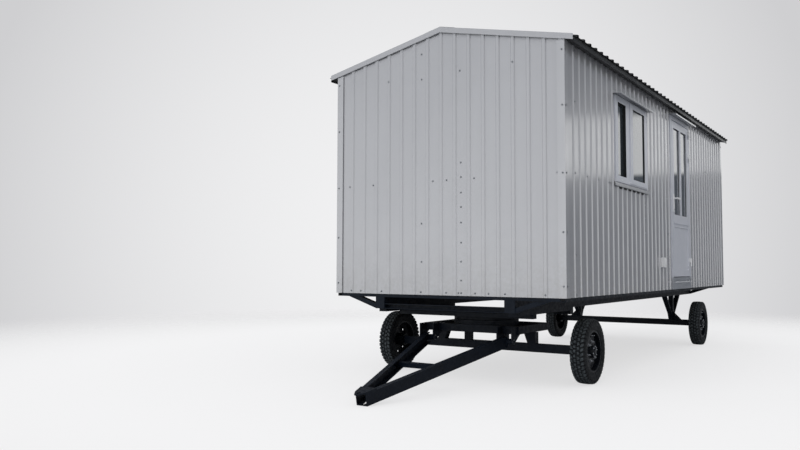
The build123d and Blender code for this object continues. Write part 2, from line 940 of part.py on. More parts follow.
# The upper half of the turntable, carried by the main beams
with BuildPart() as turntable_frame:
    bearer_length = front_axle_inset + bolster_reach + bolster_width / 2 - bearer_front
    with BuildSketch(Plane.XY.offset(bearer_bottom)):
        with Locations((0, front + bearer_front + bearer_length / 2)):
            with GridLocations(2 * beam_centre, 0, 2, 1):
                Rectangle(bearer_width, bearer_length)
    extrude(amount=bearer_depth)
    with BuildSketch(Plane.XY.offset(bolster_bottom)):
        with Locations((0, front_axle_y)):
            with GridLocations(0, 2 * bolster_reach, 1, 2):
                Rectangle(bolster_length, bolster_width)
            with GridLocations(plate_size - bearer_width, 0, 2, 1):
                Rectangle(bearer_width, 2 * bolster_reach)
    extrude(amount=bolster_depth)
    with BuildSketch(Plane.XY.offset(bolster_bottom)):
        with Locations((0, front_axle_y)):
            Rectangle(plate_size, plate_size)
    extrude(amount=plate_thickness)
    with BuildSketch(Plane.XY.offset(bolster_bottom)):
        with Locations((0, front_axle_y)):
            Circle(kingpin_radius + bearing_clearance)
    extrude(amount=plate_thickness, mode=Mode.SUBTRACT)
save(turntable_frame, "turntable_frame")


def angle_ring(flange_z, web_z):
    """A ring rolled from angle: a flat flange inwards and an upright web at the rim."""
    low, high = sorted((flange_z, web_z))
    step = ring_gauge if flange_z == low else -ring_gauge
    with BuildPart() as ring:
        with BuildSketch(Plane.XY.offset(low)):
            with Locations((0, front_axle_y)):
                Circle(ring_radius)
                Circle(ring_radius - ring_gauge, mode=Mode.SUBTRACT)
        extrude(amount=high - low)
        with BuildSketch(Plane.XY.offset(min(flange_z, flange_z + step))):
            with Locations((0, front_axle_y)):
                Circle(ring_radius)
                Circle(ring_radius - ring_flange, mode=Mode.SUBTRACT)
        extrude(amount=ring_gauge)
    return ring


save(angle_ring(bolster_bottom - ring_height, bolster_bottom), "upper_ring")
save(angle_ring(bogie_top + ring_height, bogie_top), "lower_ring")

# The bogie frame with its kingpin plate
with BuildPart() as bogie_frame:
    with BuildSketch(Plane.XY.offset(bogie_bottom)):
        with Locations((0, front_axle_y)):
            Rectangle(bogie_width, bogie_length)
            Rectangle(bogie_width - 2 * bogie_tube, bogie_length - 2 * bogie_tube, mode=Mode.SUBTRACT)
            with GridLocations(post_spacing, 0, 2, 1):
                Rectangle(bogie_tube, bogie_length)
    extrude(amount=bogie_depth)
    with BuildSketch(Plane.XY.offset(bogie_top - plate_thickness)):
        with Locations((0, front_axle_y)):
            Rectangle(post_spacing, post_spacing)
    extrude(amount=plate_thickness)
save(bogie_frame, "bogie_frame")

with BuildPart() as kingpin:
    with BuildSketch(Plane.XY.offset(bogie_top)):
        with Locations((0, front_axle_y)):
            Circle(kingpin_collar)
    extrude(amount=bolster_bottom - seat_clearance - bogie_top)
    with BuildSketch(Plane.XY.offset(bogie_top)):
        with Locations((0, front_axle_y)):
            Circle(kingpin_radius)
    extrude(amount=bolster_bottom + bolster_depth - bogie_top)
    with BuildSketch(Plane.XY.offset(bolster_bottom + plate_thickness + seat_clearance)):
        with Locations((0, front_axle_y)):
            RegularPolygon(kingpin_nut, 6)
    extrude(amount=bolster_depth - plate_thickness - seat_clearance - running_clearance)
save(kingpin, "kingpin")

# Posts between the front axle and the bogie frame
with BuildPart() as axle_posts:
    with BuildSketch(at_y(front_axle_y - axle_size / 2)):
        for side in (-1, 1):
            with Locations((side * post_spacing / 2, (axle_top + bogie_bottom) / 2)):
                Rectangle(bogie_tube, bogie_bottom - axle_top)
            with BuildLine():
                outside = side * (bogie_width / 2 + post_overhang)
                Polyline(
                    (outside, axle_top),
                    (outside, bogie_bottom),
                    (outside - side * (post_width + post_taper), bogie_bottom),
                    (outside - side * post_width, axle_top),
                    close=True,
                )
            make_face()
    extrude(amount=axle_size)
save(axle_posts, "axle_posts")

# Pairs of lugs that the drawbar hangs in
with BuildPart() as drawbar_lugs:
    lug_reach = pivot_ahead + eye_radius
    for side in (-1, 1):
        for way in (-1, 1):
            lug_x = side * lug_centre + way * (lug_gap + lug_gauge) / 2
            with BuildSketch(at_x(lug_x - lug_gauge / 2)):
                with Locations((pivot_y, pivot_height)):
                    Circle(eye_radius)
                with BuildLine():
                    Polyline(
                        (pivot_y - eye_radius, pivot_height),
                        (pivot_y - eye_radius, bogie_bottom),
                        (pivot_y + pivot_ahead + bogie_tube, bogie_bottom),
                        (pivot_y, pivot_height - eye_radius),
                        close=True,
                    )
                make_face()
                with Locations((pivot_y - eye_radius, bogie_bottom)):
                    Rectangle(lug_reach, bogie_depth, align=(Align.MIN, Align.MIN))
                with Locations((pivot_y, pivot_height)):
                    Circle(pin_radius + bearing_clearance, mode=Mode.SUBTRACT)
            extrude(amount=lug_gauge)
save(drawbar_lugs, "drawbar_lugs")

# The drawbar, drawn in its own sloping plane: local x across, local y forwards from the pivot
drawbar_plane = Plane(
    origin=(0, pivot_y, pivot_height),
    x_dir=(-1, 0, 0),
    z_dir=(0, -sin(drawbar_angle), cos(drawbar_angle)),
)
tip_face = Plane(
    origin=drawbar_plane.from_local_coords(Vector(0, drawbar_length, 0)),
    x_dir=(1, 0, 0),
    z_dir=-drawbar_plane.y_dir,
)


def drawbar_arm(side):
    """A channel from the pivot to the tip with its eye and pivot pin."""
    start = drawbar_plane.from_local_coords(Vector(-side * lug_centre, 0, 0))
    end = drawbar_plane.from_local_coords(Vector(-side * tip_spread, drawbar_length, 0))
    section = Plane(origin=start, x_dir=drawbar_plane.z_dir, z_dir=end - start)
    with BuildPart() as arm:
        with BuildSketch(section):
            Rectangle(channel_depth, channel_width)
            with Locations((0, side * channel_gauge)):
                Rectangle(channel_depth - 2 * channel_gauge, channel_width, mode=Mode.SUBTRACT)
        extrude(amount=(end - start).length + channel_width)
        split(bisect_by=tip_face, keep=Keep.TOP)
        with BuildSketch(at_x(side * lug_centre - lug_gap / 2 + running_clearance)):
            with Locations((pivot_y, pivot_height)):
                Circle(eye_radius)
        extrude(amount=lug_gap - 2 * running_clearance)
        with BuildSketch(at_x(side * lug_centre - lug_gap / 2 - 2 * lug_gauge)):
            with Locations((pivot_y, pivot_height)):
                Circle(pin_radius)
        extrude(amount=lug_gap + 4 * lug_gauge)
    return arm


save(drawbar_arm(-1), "drawbar_arm_left")
save(drawbar_arm(1), "drawbar_arm_right")


def web_face(ahead):
    """How far from the middle the inner face of each arm's web is, this far ahead of the pivot."""
    taper = (lug_centre - tip_spread) / drawbar_length
    return lug_centre - taper * ahead + (channel_width / 2 - channel_gauge) * hypot(1, taper)


def between_arms(start, end, gauge):
    """A flat plate that runs from one arm's web to the other's."""
    with BuildPart() as plate:
        with BuildSketch(drawbar_plane.offset(-gauge / 2)):
            with BuildLine():
                Polyline(
                    (-web_face(start), start),
                    (web_face(start), start),
                    (web_face(end), end),
                    (-web_face(end), end),
                    close=True,
                )
            make_face()
        extrude(amount=gauge)
    return plate


brace_start = brace_ahead - brace_width / 2
save(between_arms(brace_start, brace_start + brace_width, brace_gauge), "drawbar_brace")

with BuildPart() as tow_eye:
    outer_face = web_face(drawbar_length) + channel_gauge
    arm_slope = (web_face(0) - web_face(drawbar_length)) / drawbar_length
    with BuildSketch(drawbar_plane.offset(channel_depth / 2)):
        with BuildLine():
            Polyline(
                (-outer_face - arm_slope * tip_plate_length, drawbar_length - tip_plate_length),
                (outer_face + arm_slope * tip_plate_length, drawbar_length - tip_plate_length),
                (outer_face, drawbar_length),
                (-outer_face, drawbar_length),
                close=True,
            )
        make_face()
        with Locations((0, drawbar_length)):
            Trapezoid(2 * outer_face, nose_length, nose_angle, align=(Align.CENTER, Align.MIN))
        with Locations((0, drawbar_length + eye_ahead)):
            Circle(eye_bore, mode=Mode.SUBTRACT)
    extrude(amount=tip_plate_gauge)
save(tow_eye, "tow_eye")


def wheel(side, y):
    """The tyre, and the steel rim, disc and hub in one; local points are (outward, radius)."""
    spin = Axis((0, y, wheel_radius), (1, 0, 0))
    flat = Plane(origin=(side * wheel_centre, y, wheel_radius), x_dir=(side, 0, 0), z_dir=(0, 0, side))
    half = tyre_width / 2
    seat = half - rim_inset
    tread_edge = half - shoulder
    belly = (rim_radius + wheel_radius) / 2
    bead = rim_radius + rim_flange + rim_lip
    with BuildPart() as tyre:
        with BuildSketch(flat):
            with BuildLine():
                Polyline(
                    (-tread_edge, wheel_radius),
                    (tread_edge, wheel_radius),
                    (half - belly_out - shoulder_drop, wheel_radius - shoulder_drop - belly_out),
                    (half - belly_out, belly),
                    (seat, bead),
                    (seat, rim_radius),
                    (-seat, rim_radius),
                    (-seat, bead),
                    (belly_out - half, belly),
                    (belly_out + shoulder_drop - half, wheel_radius - shoulder_drop - belly_out),
                    close=True,
                )
            make_face()
            with Locations((0, wheel_radius)):
                with GridLocations(groove_spacing, 0, groove_count, 1):
                    Rectangle(groove_width, 2 * groove_depth, mode=Mode.SUBTRACT)
        revolve(axis=spin)
    with BuildPart() as disc:
        rim_inside = rim_radius - disc_gauge
        with BuildSketch(flat):
            with BuildLine():
                Polyline(
                    (-seat - rim_lip, rim_inside),
                    (-seat - rim_lip, rim_radius + rim_flange),
                    (-seat, rim_radius + rim_flange),
                    (-seat, rim_radius),
                    (seat, rim_radius),
                    (seat, rim_radius + rim_flange),
                    (seat + rim_lip, rim_radius + rim_flange),
                    (seat + rim_lip, rim_inside),
                    (disc_gauge, rim_inside),
                    (disc_offset + disc_gauge, web_outer),
                    (disc_offset + disc_gauge, hub_radius),
                    (hub_reach, hub_radius - disc_gauge),
                    (hub_reach, cap_radius),
                    (hub_reach + disc_gauge, cap_radius - disc_gauge),
                    (hub_reach + disc_gauge, 0),
                    (seat_clearance, 0),
                    (seat_clearance, spindle_radius + bearing_clearance),
                    (-half, spindle_radius + bearing_clearance),
                    (-half, hub_radius),
                    (disc_offset, hub_radius),
                    (disc_offset, web_outer),
                    (0, rim_inside),
                    close=True,
                )
            make_face()
        revolve(axis=spin)
        with BuildSketch(at_x(side * (wheel_centre + disc_offset))):
            with Locations((y, wheel_radius)):
                with PolarLocations(vent_circle, vent_holes):
                    Circle(vent_radius)
        extrude(amount=side * disc_gauge, mode=Mode.SUBTRACT)
    return tyre, disc


for y, end in ((front_axle_y, "front"), (rear_axle_y, "rear")):
    for side, word in ((-1, "left"), (1, "right")):
        tyre, disc = wheel(side, y)
        save(tyre, f"tyre_{end}_{word}")
        save(disc, f"wheel_{end}_{word}")

print("front", round(front, 3), "pivot", round(pivot_y, 3), "tilt", round(degrees(drawbar_angle), 4))
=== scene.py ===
import json
from math import cos, pi, radians, sin, tan

import bpy
import numpy as np
from mathutils import Matrix, Vector


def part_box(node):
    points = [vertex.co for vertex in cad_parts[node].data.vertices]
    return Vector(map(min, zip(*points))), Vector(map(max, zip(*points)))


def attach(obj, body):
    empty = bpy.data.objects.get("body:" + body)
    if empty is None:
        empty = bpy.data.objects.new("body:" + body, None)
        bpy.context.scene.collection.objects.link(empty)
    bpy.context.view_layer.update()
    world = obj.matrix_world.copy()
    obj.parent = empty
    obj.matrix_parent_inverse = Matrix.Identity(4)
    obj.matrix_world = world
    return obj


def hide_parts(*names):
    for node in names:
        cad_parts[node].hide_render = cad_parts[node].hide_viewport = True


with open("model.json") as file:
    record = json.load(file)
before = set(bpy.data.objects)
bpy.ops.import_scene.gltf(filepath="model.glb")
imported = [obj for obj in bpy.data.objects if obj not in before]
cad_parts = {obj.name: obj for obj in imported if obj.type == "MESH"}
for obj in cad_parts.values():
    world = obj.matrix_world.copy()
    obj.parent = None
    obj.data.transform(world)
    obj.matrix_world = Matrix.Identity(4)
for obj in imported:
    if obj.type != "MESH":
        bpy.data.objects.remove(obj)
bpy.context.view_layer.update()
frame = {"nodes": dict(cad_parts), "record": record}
bpy.context.scene.view_settings.view_transform = "Standard"
print("frame loaded with", len(frame["nodes"]), "nodes")

# Faces and corners of the cabin that the pieces below are placed by, in metres
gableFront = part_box("gable_cladding")[0].y
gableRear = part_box("gable_cladding")[1].y
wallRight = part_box("side_cladding")[1].x
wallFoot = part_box("side_cladding")[0].z
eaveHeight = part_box("side_cladding")[1].z
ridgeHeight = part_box("gable_cladding")[1].z
middleY = (gableFront + gableRear) / 2
roofSlope = tan(radians(12.25))
ribPitch = 0.145  # spacing of the wall sheets' ribs
troughDepth = 0.010  # how far the flat of a sheet lies behind its rib crests
ribCount = 43  # on a long side
sideRibs = middleY + (np.arange(ribCount) - (ribCount - 1) / 2) * ribPitch


# Small helpers

# A hex colour in sRGB as linear red, green, blue and alpha: below 0.04045 it is divided by 12.92,
# above it is ((value + 0.055) / 1.055) to the power 2.4
def linearColour(code):
    values = np.array([int(code[i:i + 2], 16) / 255 for i in (1, 3, 5)])
    linear = np.where(values <= 0.04045, values / 12.92, ((values + 0.055) / 1.055) ** 2.4)
    return (*(float(v) for v in linear), 1.0)


# One node with its settings and inputs; an input is a constant, a hex colour or another node's socket
def addNode(tree, kind, inputs=None, stops=None, **settings):
    node = tree.nodes.new(kind)
    for name, value in settings.items():
        setattr(node, name, value)
    for socket, value in (inputs or {}).items():
        if isinstance(value, bpy.types.NodeSocket):
            tree.links.new(value, node.inputs[socket])
        else:
            node.inputs[socket].default_value = linearColour(value) if isinstance(value, str) else value
    for index, (position, colour) in enumerate(stops or ()):
        elements = node.color_ramp.elements
        element = elements[index] if index < 2 else elements.new(position)
        element.position = position
        element.color = linearColour(colour)
    return node


# Colours laid over one another as coats are: each coat is how much of it shows, and its colour
def layColours(tree, base, coats):
    for share, colour in coats:
        base = addNode(tree, "ShaderNodeMix", {0: share, 6: base, 7: colour}, data_type="RGBA").outputs[2]
    return base


# The faces of a grid of points with this many rows and columns, as four corners each
def gridFaces(rows, columns, closedRows=False, closedColumns=False):
    lastRow = rows if closedRows else rows - 1
    lastColumn = columns if closedColumns else columns - 1
    row, column = np.meshgrid(np.arange(lastRow), np.arange(lastColumn), indexing="ij")
    nextRow, nextColumn = (row + 1) % rows, (column + 1) % columns
    corners = [row * columns + column, row * columns + nextColumn,
               nextRow * columns + nextColumn, nextRow * columns + column]
    return np.stack(corners, axis=-1).reshape(-1, 4)


# A stack of closed rings of points, shut by a fan of triangles round one more point at each end
def closeRings(rings, low, high):
    levels, sides = rings.shape[:2]
    count = levels * sides
    ring = np.arange(sides)
    ahead = (ring + 1) % sides
    top = count - sides
    lowFan = np.stack([np.full(sides, count), ahead, ring], axis=-1)
    highFan = np.stack([np.full(sides, count + 1), top + ring, top + ahead], axis=-1)
    points = np.vstack([rings.reshape(-1, 3), low, high])
    return points, [gridFaces(levels, sides, closedColumns=True), lowFan, highFan]


# A profile of (radius, height) turned about the height axis: x = radius cos angle, y = radius sin angle.
# It starts and ends on the axis, where the fans close it
def turned(profile, segments):
    profile = np.array(profile, float)
    angle = np.arange(segments) * 2 * pi / segments
    radius, height = profile[1:-1, :1], profile[1:-1, 1:]
    rings = np.stack([radius * np.cos(angle), radius * np.sin(angle), np.repeat(height, segments, axis=1)], axis=-1)
    return closeRings(rings, [0, 0, profile[0, 1]], [0, 0, profile[-1, 1]])


# Copies of a small shape: each stands at a place with its height axis along a direction
def copiesOf(shape, places, directions):
    points, faces = shape
    places = np.atleast_2d(np.array(places, float))
    directions = np.broadcast_to(np.array(directions, float), places.shape)
    away = directions / np.linalg.norm(directions, axis=1, keepdims=True)
    helper = np.where(np.abs(away[:, 2:]) > 0.9, [[0.0, 1.0, 0.0]], [[0.0, 0.0, 1.0]])
    across = np.cross(helper, away)
    across /= np.linalg.norm(across, axis=1, keepdims=True)
    along = np.cross(away, across)
    turns = np.stack([across, along, away], axis=1)
    spread = np.einsum("pk,nkj->npj", points, turns) + places[:, None, :]
    shift = np.arange(len(places)) * len(points)
    copied = [(group[None] + shift[:, None, None]).reshape(-1, group.shape[1]) for group in faces]
    return spread.reshape(-1, 3), copied


# Several shapes as one, their face numbers moved on by the points before them
def together(shapes):
    points, faces, count = [], [], 0
    for shapePoints, shapeFaces in shapes:
        points.append(shapePoints)
        faces += [group + count for group in shapeFaces]
        count += len(shapePoints)
    return np.vstack(points), faces


# Puts arrays of points and faces into a mesh that rides on a body and takes a material slot's finish
def makePiece(name, shape, material, body, sharpAngle=35, attribute=None):
    points, faces = shape
    corners = np.concatenate([group.ravel() for group in faces])
    sizes = np.concatenate([np.full(len(group), group.shape[1]) for group in faces])
    mesh = bpy.data.meshes.new(name)
    mesh.vertices.add(len(points))
    mesh.vertices.foreach_set("co", np.asarray(points, np.float32).ravel())
    mesh.loops.add(len(corners))
    mesh.loops.foreach_set("vertex_index", corners.astype(np.int32))
    mesh.polygons.add(len(sizes))
    mesh.polygons.foreach_set("loop_start", (np.cumsum(sizes) - sizes).astype(np.int32))
    mesh.update(calc_edges=True)
    mesh.polygons.foreach_set("use_smooth", np.ones(len(sizes), bool))
    mesh.set_sharp_from_angle(angle=radians(sharpAngle))
    mesh.materials.append(material)
    if attribute:
        mesh.attributes.new(attribute[0], "FLOAT", "POINT").data.foreach_set("value", attribute[1].astype(np.float32))
    piece = bpy.data.objects.new(name, mesh)
    bpy.context.scene.collection.objects.link(piece)
    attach(piece, body)
    return piece


# Camera: stands where the photograph was taken from, ahead of the gable and to the door side

cameraValues = {
    "across": 3.5517,       # metres to the door side of the cabin's middle
    "aheadOfGable": 5.9444,
    "height": 1.0675,
    "turn": 33.9072,        # degrees from straight back, towards the far side
    "tilt": 3.1855,
    "roll": 0.1384,
    "lens": 34.229,         # in millimetres, as the sensor is
    "sensor": 36,
}


# The camera looks along (-sin turn, cos turn) raised by the tilt, and its right turns up by the roll
def makeCamera(values):
    turn, tilt, roll = (radians(values[key]) for key in ("turn", "tilt", "roll"))
    forward = Vector((-sin(turn) * cos(tilt), cos(turn) * cos(tilt), sin(tilt)))
    level = Vector((cos(turn), sin(turn), 0))
    upright = level.cross(forward)
    right = level * cos(roll) + upright * sin(roll)
    up = upright * cos(roll) - level * sin(roll)
    data = bpy.data.cameras.new("photoCamera")
    data.lens = values["lens"]
    data.sensor_width = values["sensor"]
    camera = bpy.data.objects.new("photoCamera", data)
    place = Vector((values["across"], gableFront - values["aheadOfGable"], values["height"]))
    columns = Matrix((right, up, -forward)).transposed().to_4x4()
    camera.matrix_world = Matrix.Translation(place) @ columns
    bpy.context.scene.collection.objects.link(camera)
    bpy.context.scene.camera = camera


makeCamera(cameraValues)


# Studio: a pale round floor that fades into a pale backdrop, a broad soft lamp and a fill

studioValues = {
    "backdropMiddle": "#F0F0F1",
    "backdropSides": "#CFCFD1",
    "backdropLift": 0.06,       # how far above the level the backdrop is palest
    "backdropEdge": 0.87,       # cosine of the angle at which it has its sides' colour
    "floor": "#F4F4F5",
    "floorBounce": "#A0A2A6",   # what the floor gives back to the object, in light and in reflection
    "floorGlow": 0.7,           # share of the floor's own paleness, which softens the shadow
    "floorRadius": 16.0,
    "floorTop": -0.002,
    "floorFoot": -0.01,
    "floorSides": 96,
    "fadeFrom": 5.0,            # metres from the middle where the floor starts to fade
    "fadeTo": 12.0,
    "worldLight": 0.75,
    "reflectedFront": "#FDFEFF",
    "reflectedAbove": "#B4B7BC",
    "reflectedLow": "#5C6067",
    "reflectedBand": "#F6F7F8",
    "reflectedHigh": "#5F636A",
    "bandEdges": (0.427, 0.437, 0.572, 0.59),   # on the way from a sine of -0.1 to one of 0.4
    "keyStrength": 1.36,
    "keyTurn": -3,              # degrees from straight ahead of the gable towards the door side
    "keyHeight": 36,
    "keySpread": 60,
}


# The backdrop's paleness by direction: brightest behind the cabin as the camera sees it
def backdropColour(tree, direction, values):
    turn = radians(cameraValues["turn"])
    middle = (-sin(turn), cos(turn), values["backdropLift"])
    towards = addNode(tree, "ShaderNodeVectorMath", {0: direction, 1: middle},
                      operation="DOT_PRODUCT").outputs["Value"]
    share = addNode(tree, "ShaderNodeMapRange", {"Value": towards, "From Min": values["backdropEdge"], "From Max": 1.0})
    return layColours(tree, values["backdropSides"], [(share.outputs[0], values["backdropMiddle"])])


# What glossy surfaces see: ahead of the gable an even paleness, and on the other sides a dark foot, a
# bright band and a duller sky from the ground up, each by the sine of its height
def reflectedColour(tree, direction, values):
    parts = addNode(tree, "ShaderNodeSeparateXYZ", {0: direction}).outputs
    height = addNode(tree, "ShaderNodeMapRange", {"Value": parts["Z"], "From Min": -0.1, "From Max": 0.4})
    colours = [values[key] for key in ("reflectedLow", "reflectedBand", "reflectedBand", "reflectedHigh")]
    behind = addNode(tree, "ShaderNodeValToRGB", {0: height.outputs[0]},
                     stops=zip(values["bandEdges"], colours)).outputs[0]
    ahead = addNode(tree, "ShaderNodeMapRange", {"Value": parts["Y"], "From Min": 0.1, "From Max": -0.3})
    rise = addNode(tree, "ShaderNodeMapRange", {"Value": parts["Z"], "From Min": 0.0, "From Max": 0.3})
    front = layColours(tree, values["reflectedFront"], [(rise.outputs[0], values["reflectedAbove"])])
    return layColours(tree, behind, [(ahead.outputs[0], front)])


# 1 for rays that the camera sends, straight or through glass, and 0 for those that only carry light
def cameraRays(tree, rays):
    return addNode(tree, "ShaderNodeMath", {0: rays["Is Camera Ray"], 1: rays["Is Transmission Ray"]},
                   operation="MAXIMUM").outputs[0]


# The camera sees the backdrop, glossy rays see the mirrored surroundings, and the rest is an even white fill
def makeWorld(values):
    world = bpy.data.worlds.new("studio")
    bpy.context.scene.world = world
    world.use_nodes = True
    tree = world.node_tree
    tree.nodes.clear()
    rays = addNode(tree, "ShaderNodeLightPath").outputs
    direction = addNode(tree, "ShaderNodeTexCoord").outputs["Generated"]
    seen = addNode(tree, "ShaderNodeBackground", {"Color": backdropColour(tree, direction, values)})
    mirrored = addNode(tree, "ShaderNodeBackground", {"Color": reflectedColour(tree, direction, values)})
    light = addNode(tree, "ShaderNodeBackground", {"Color": (1, 1, 1, 1), "Strength": values["worldLight"]})
    glossy = addNode(tree, "ShaderNodeMixShader", {0: rays["Is Glossy Ray"], 1: light.outputs[0],
                                                   2: mirrored.outputs[0]})
    mixed = addNode(tree, "ShaderNodeMixShader", {0: cameraRays(tree, rays), 1: glossy.outputs[0],
                                                  2: seen.outputs[0]})
    addNode(tree, "ShaderNodeOutputWorld", {"Surface": mixed.outputs[0]})


# A disc: x = r cos a, y = r sin a. Near the object its shader is a matt floor with some paleness of its
# own, and farther out it fades until only the backdrop shows, so that it has no visible edge
def makeFloor(values):
    material = bpy.data.materials.new("paperFloor")
    material.use_nodes = True
    tree = material.node_tree
    tree.nodes.clear()
    rays = addNode(tree, "ShaderNodeLightPath").outputs
    where = addNode(tree, "ShaderNodeTexCoord").outputs["Object"]
    reach = addNode(tree, "ShaderNodeVectorMath", {0: where}, operation="LENGTH").outputs["Value"]
    fade = addNode(tree, "ShaderNodeMapRange", {"Value": reach, "From Min": values["fadeFrom"],
                                                "From Max": values["fadeTo"]}, interpolation_type="SMOOTHSTEP")
    matt = addNode(tree, "ShaderNodeBsdfDiffuse", {"Color": values["floor"]})
    glow = addNode(tree, "ShaderNodeEmission", {"Color": values["floor"], "Strength": 1.0})
    near = addNode(tree, "ShaderNodeMixShader", {0: values["floorGlow"], 1: matt.outputs[0], 2: glow.outputs[0]})
    far = addNode(tree, "ShaderNodeBsdfTransparent")
    seen = addNode(tree, "ShaderNodeMixShader", {0: fade.outputs[0], 1: near.outputs[0], 2: far.outputs[0]})
    bounce = addNode(tree, "ShaderNodeBsdfDiffuse", {"Color": values["floorBounce"]})
    mixed = addNode(tree, "ShaderNodeMixShader", {0: cameraRays(tree, rays), 1: bounce.outputs[0],
                                                  2: seen.outputs[0]})
    addNode(tree, "ShaderNodeOutputMaterial", {"Surface": mixed.outputs[0]})
    radius, top, foot = values["floorRadius"], values["floorTop"], values["floorFoot"]
    points, faces = turned([(0, foot), (radius, foot), (radius, top), (0, top)], values["floorSides"])
    mesh = bpy.data.meshes.new("floor")
    mesh.from_pydata(points.tolist(), [], [face for group in faces for face in group.tolist()])
    mesh.materials.append(material)
    floor = bpy.data.objects.new("floor", mesh)
    bpy.context.scene.collection.objects.link(floor)


# A broad lamp far away, which shines from a turn about the gable's front and a height above the ground
def makeKeyLamp(values):
    turn, height = radians(values["keyTurn"]), radians(values["keyHeight"])
    data = bpy.data.lights.new("keyLamp", "SUN")
    data.energy = values["keyStrength"]
    data.angle = radians(values["keySpread"])
    lamp = bpy.data.objects.new("keyLamp", data)
    away = Vector((sin(turn) * cos(height), -cos(turn) * cos(height), sin(height)))
    lamp.rotation_euler = away.to_track_quat("Z", "Y").to_euler()
    lamp.visible_glossy = False  # reflections come from the world alone
    bpy.context.scene.collection.objects.link(lamp)


makeWorld(studioValues)
makeFloor(studioValues)
makeKeyLamp(studioValues)
print("camera and studio ready")


# Materials: each starts from the real finish


# A Principled surface with constant values on its own sockets, its tree and the object's own coordinates
def startMaterial(name, values):
    material = bpy.data.materials.new(name)
    material.use_nodes = True
    tree = material.node_tree
    for socket, value in values.items():
        tree.nodes["Principled BSDF"].inputs[socket].default_value = value
    return material, tree, addNode(tree, "ShaderNodeTexCoord").outputs["Object"]


# Links a colour, a roughness and heights to the surface; each height is a socket and its size in metres
def finishMaterial(material, colour, roughness, heights):
    tree = material.node_tree
    inputs = tree.nodes["Principled BSDF"].inputs
    tree.links.new(colour, inputs["Base Color"])
    tree.links.new(roughness, inputs["Roughness"])
    raised = {}
    for height, distance in heights:
        bump = addNode(tree, "ShaderNodeBump", {"Height": height, "Distance": distance, "Strength": 1.0, **raised})
        raised = {"Normal": bump.outputs[0]}
    tree.links.new(raised["Normal"], inputs["Normal"])
    return material


# Noise at this scale per metre, stretched by three factors, remapped to run between two values
def speckle(tree, where, scale, low, high, stretch=(1, 1, 1), detail=3.0, span=(0.35, 0.65)):
    stretched = addNode(tree, "ShaderNodeMapping", {"Vector": where, "Scale": stretch}).outputs[0]
    noise = addNode(tree, "ShaderNodeTexNoise", {"Vector": stretched, "Scale": scale, "Detail": detail})
    return addNode(tree, "ShaderNodeMapRange", {"Value": noise.outputs["Fac"], "From Min": span[0],
                                                "From Max": span[1], "To Min": low, "To Max": high}).outputs[0]


# Galvanised steel sheet with a metallic polyester coat, roll formed: aluminium flake under a clear gloss
# gives the grey a soft metal sheen, the thin sheet waves along its ribs by less than 1 mm, and rain leaves
# pale streaks and splashes near the foot. Where the coat is metallic its roughness stays under 0.27, past
# which the renderer shows the sheen in specks
def coatedSheet(name, colour, streak, roughness, metal=0.3, gloss=0.9, paintedUnderShade=None):
    material, tree, where = startMaterial(name, {"Metallic": metal, "Coat Weight": gloss,
                                                 "Coat Roughness": 0.09, "Coat IOR": 1.75})
    clouds = speckle(tree, where, 1.3, 0.0, 0.35, detail=2.0)
    streaks = speckle(tree, where, 9.0, 0.0, 0.25, stretch=(1.6, 1.6, 0.12), detail=5.0, span=(0.45, 0.75))
    splashTop = wallFoot + 0.5
    height = addNode(tree, "ShaderNodeSeparateXYZ", {0: where}).outputs["Z"]
    nearFoot = addNode(tree, "ShaderNodeMapRange", {"Value": height, "From Min": splashTop, "From Max": wallFoot,
                                                    "To Min": 0.0, "To Max": 0.3}).outputs[0]
    splash = addNode(tree, "ShaderNodeMath", {0: nearFoot, 1: speckle(tree, where, 35.0, 0.0, 1.0)},
                     operation="MULTIPLY").outputs[0]
    base = layColours(tree, colour, [(clouds, streak), (streaks, streak), (splash, "#9C9A96")])
    if paintedUnderShade:  # painted shade: faces that look down are darkened, as a trim's underside lies in shade
        facing = addNode(tree, "ShaderNodeNewGeometry").outputs["True Normal"]
        down = addNode(tree, "ShaderNodeSeparateXYZ", {0: facing}).outputs["Z"]
        under = addNode(tree, "ShaderNodeMath", {0: down, 1: -0.6}, operation="LESS_THAN").outputs[0]
        base = layColours(tree, base, [(under, paintedUnderShade)])
    satin = speckle(tree, where, 6.0, roughness - 0.04, roughness + 0.04)
    waves = speckle(tree, where, 5.0, 0.0, 1.0, stretch=(1.0, 1.0, 0.15), detail=0.0, span=(0.0, 1.0))
    return finishMaterial(material, base, satin, [(waves, 0.0008)])


# Satin black enamel brushed over hot-rolled steel: a blue-black film with brush marks, mill scale
# showing as a low bump, a little road dust on what faces up and small rust freckles
def chassisEnamel(name, colour, worn, roughness):
    material, tree, where = startMaterial(name, {"Metallic": 0.0, "IOR": 1.45, "Specular IOR Level": 0.35})
    brushed = speckle(tree, where, 14.0, 0.0, 0.6, detail=6.0)
    facing = addNode(tree, "ShaderNodeNewGeometry").outputs["Normal"]
    upward = addNode(tree, "ShaderNodeSeparateXYZ", {0: facing}).outputs["Z"]
    lying = addNode(tree, "ShaderNodeMapRange", {"Value": upward, "From Min": 0.6, "From Max": 1.0,
                                                 "To Max": 0.25}).outputs[0]
    dust = addNode(tree, "ShaderNodeMath", {0: lying, 1: speckle(tree, where, 22.0, 0.2, 1.0)},
                   operation="MULTIPLY").outputs[0]
    rust = speckle(tree, where, 55.0, 0.0, 0.7, detail=8.0, span=(0.69, 0.77))
    base = layColours(tree, colour, [(brushed, worn), (dust, "#34363A"), (rust, "#2E231E")])
    satin = speckle(tree, where, 30.0, roughness - 0.08, roughness + 0.12)
    scale = speckle(tree, where, 60.0, 0.0, 1.0, detail=4.0)
    grit = speckle(tree, where, 420.0, 0.0, 1.0)
    return finishMaterial(material, base, satin, [(scale, 0.0005), (grit, 0.00008)])


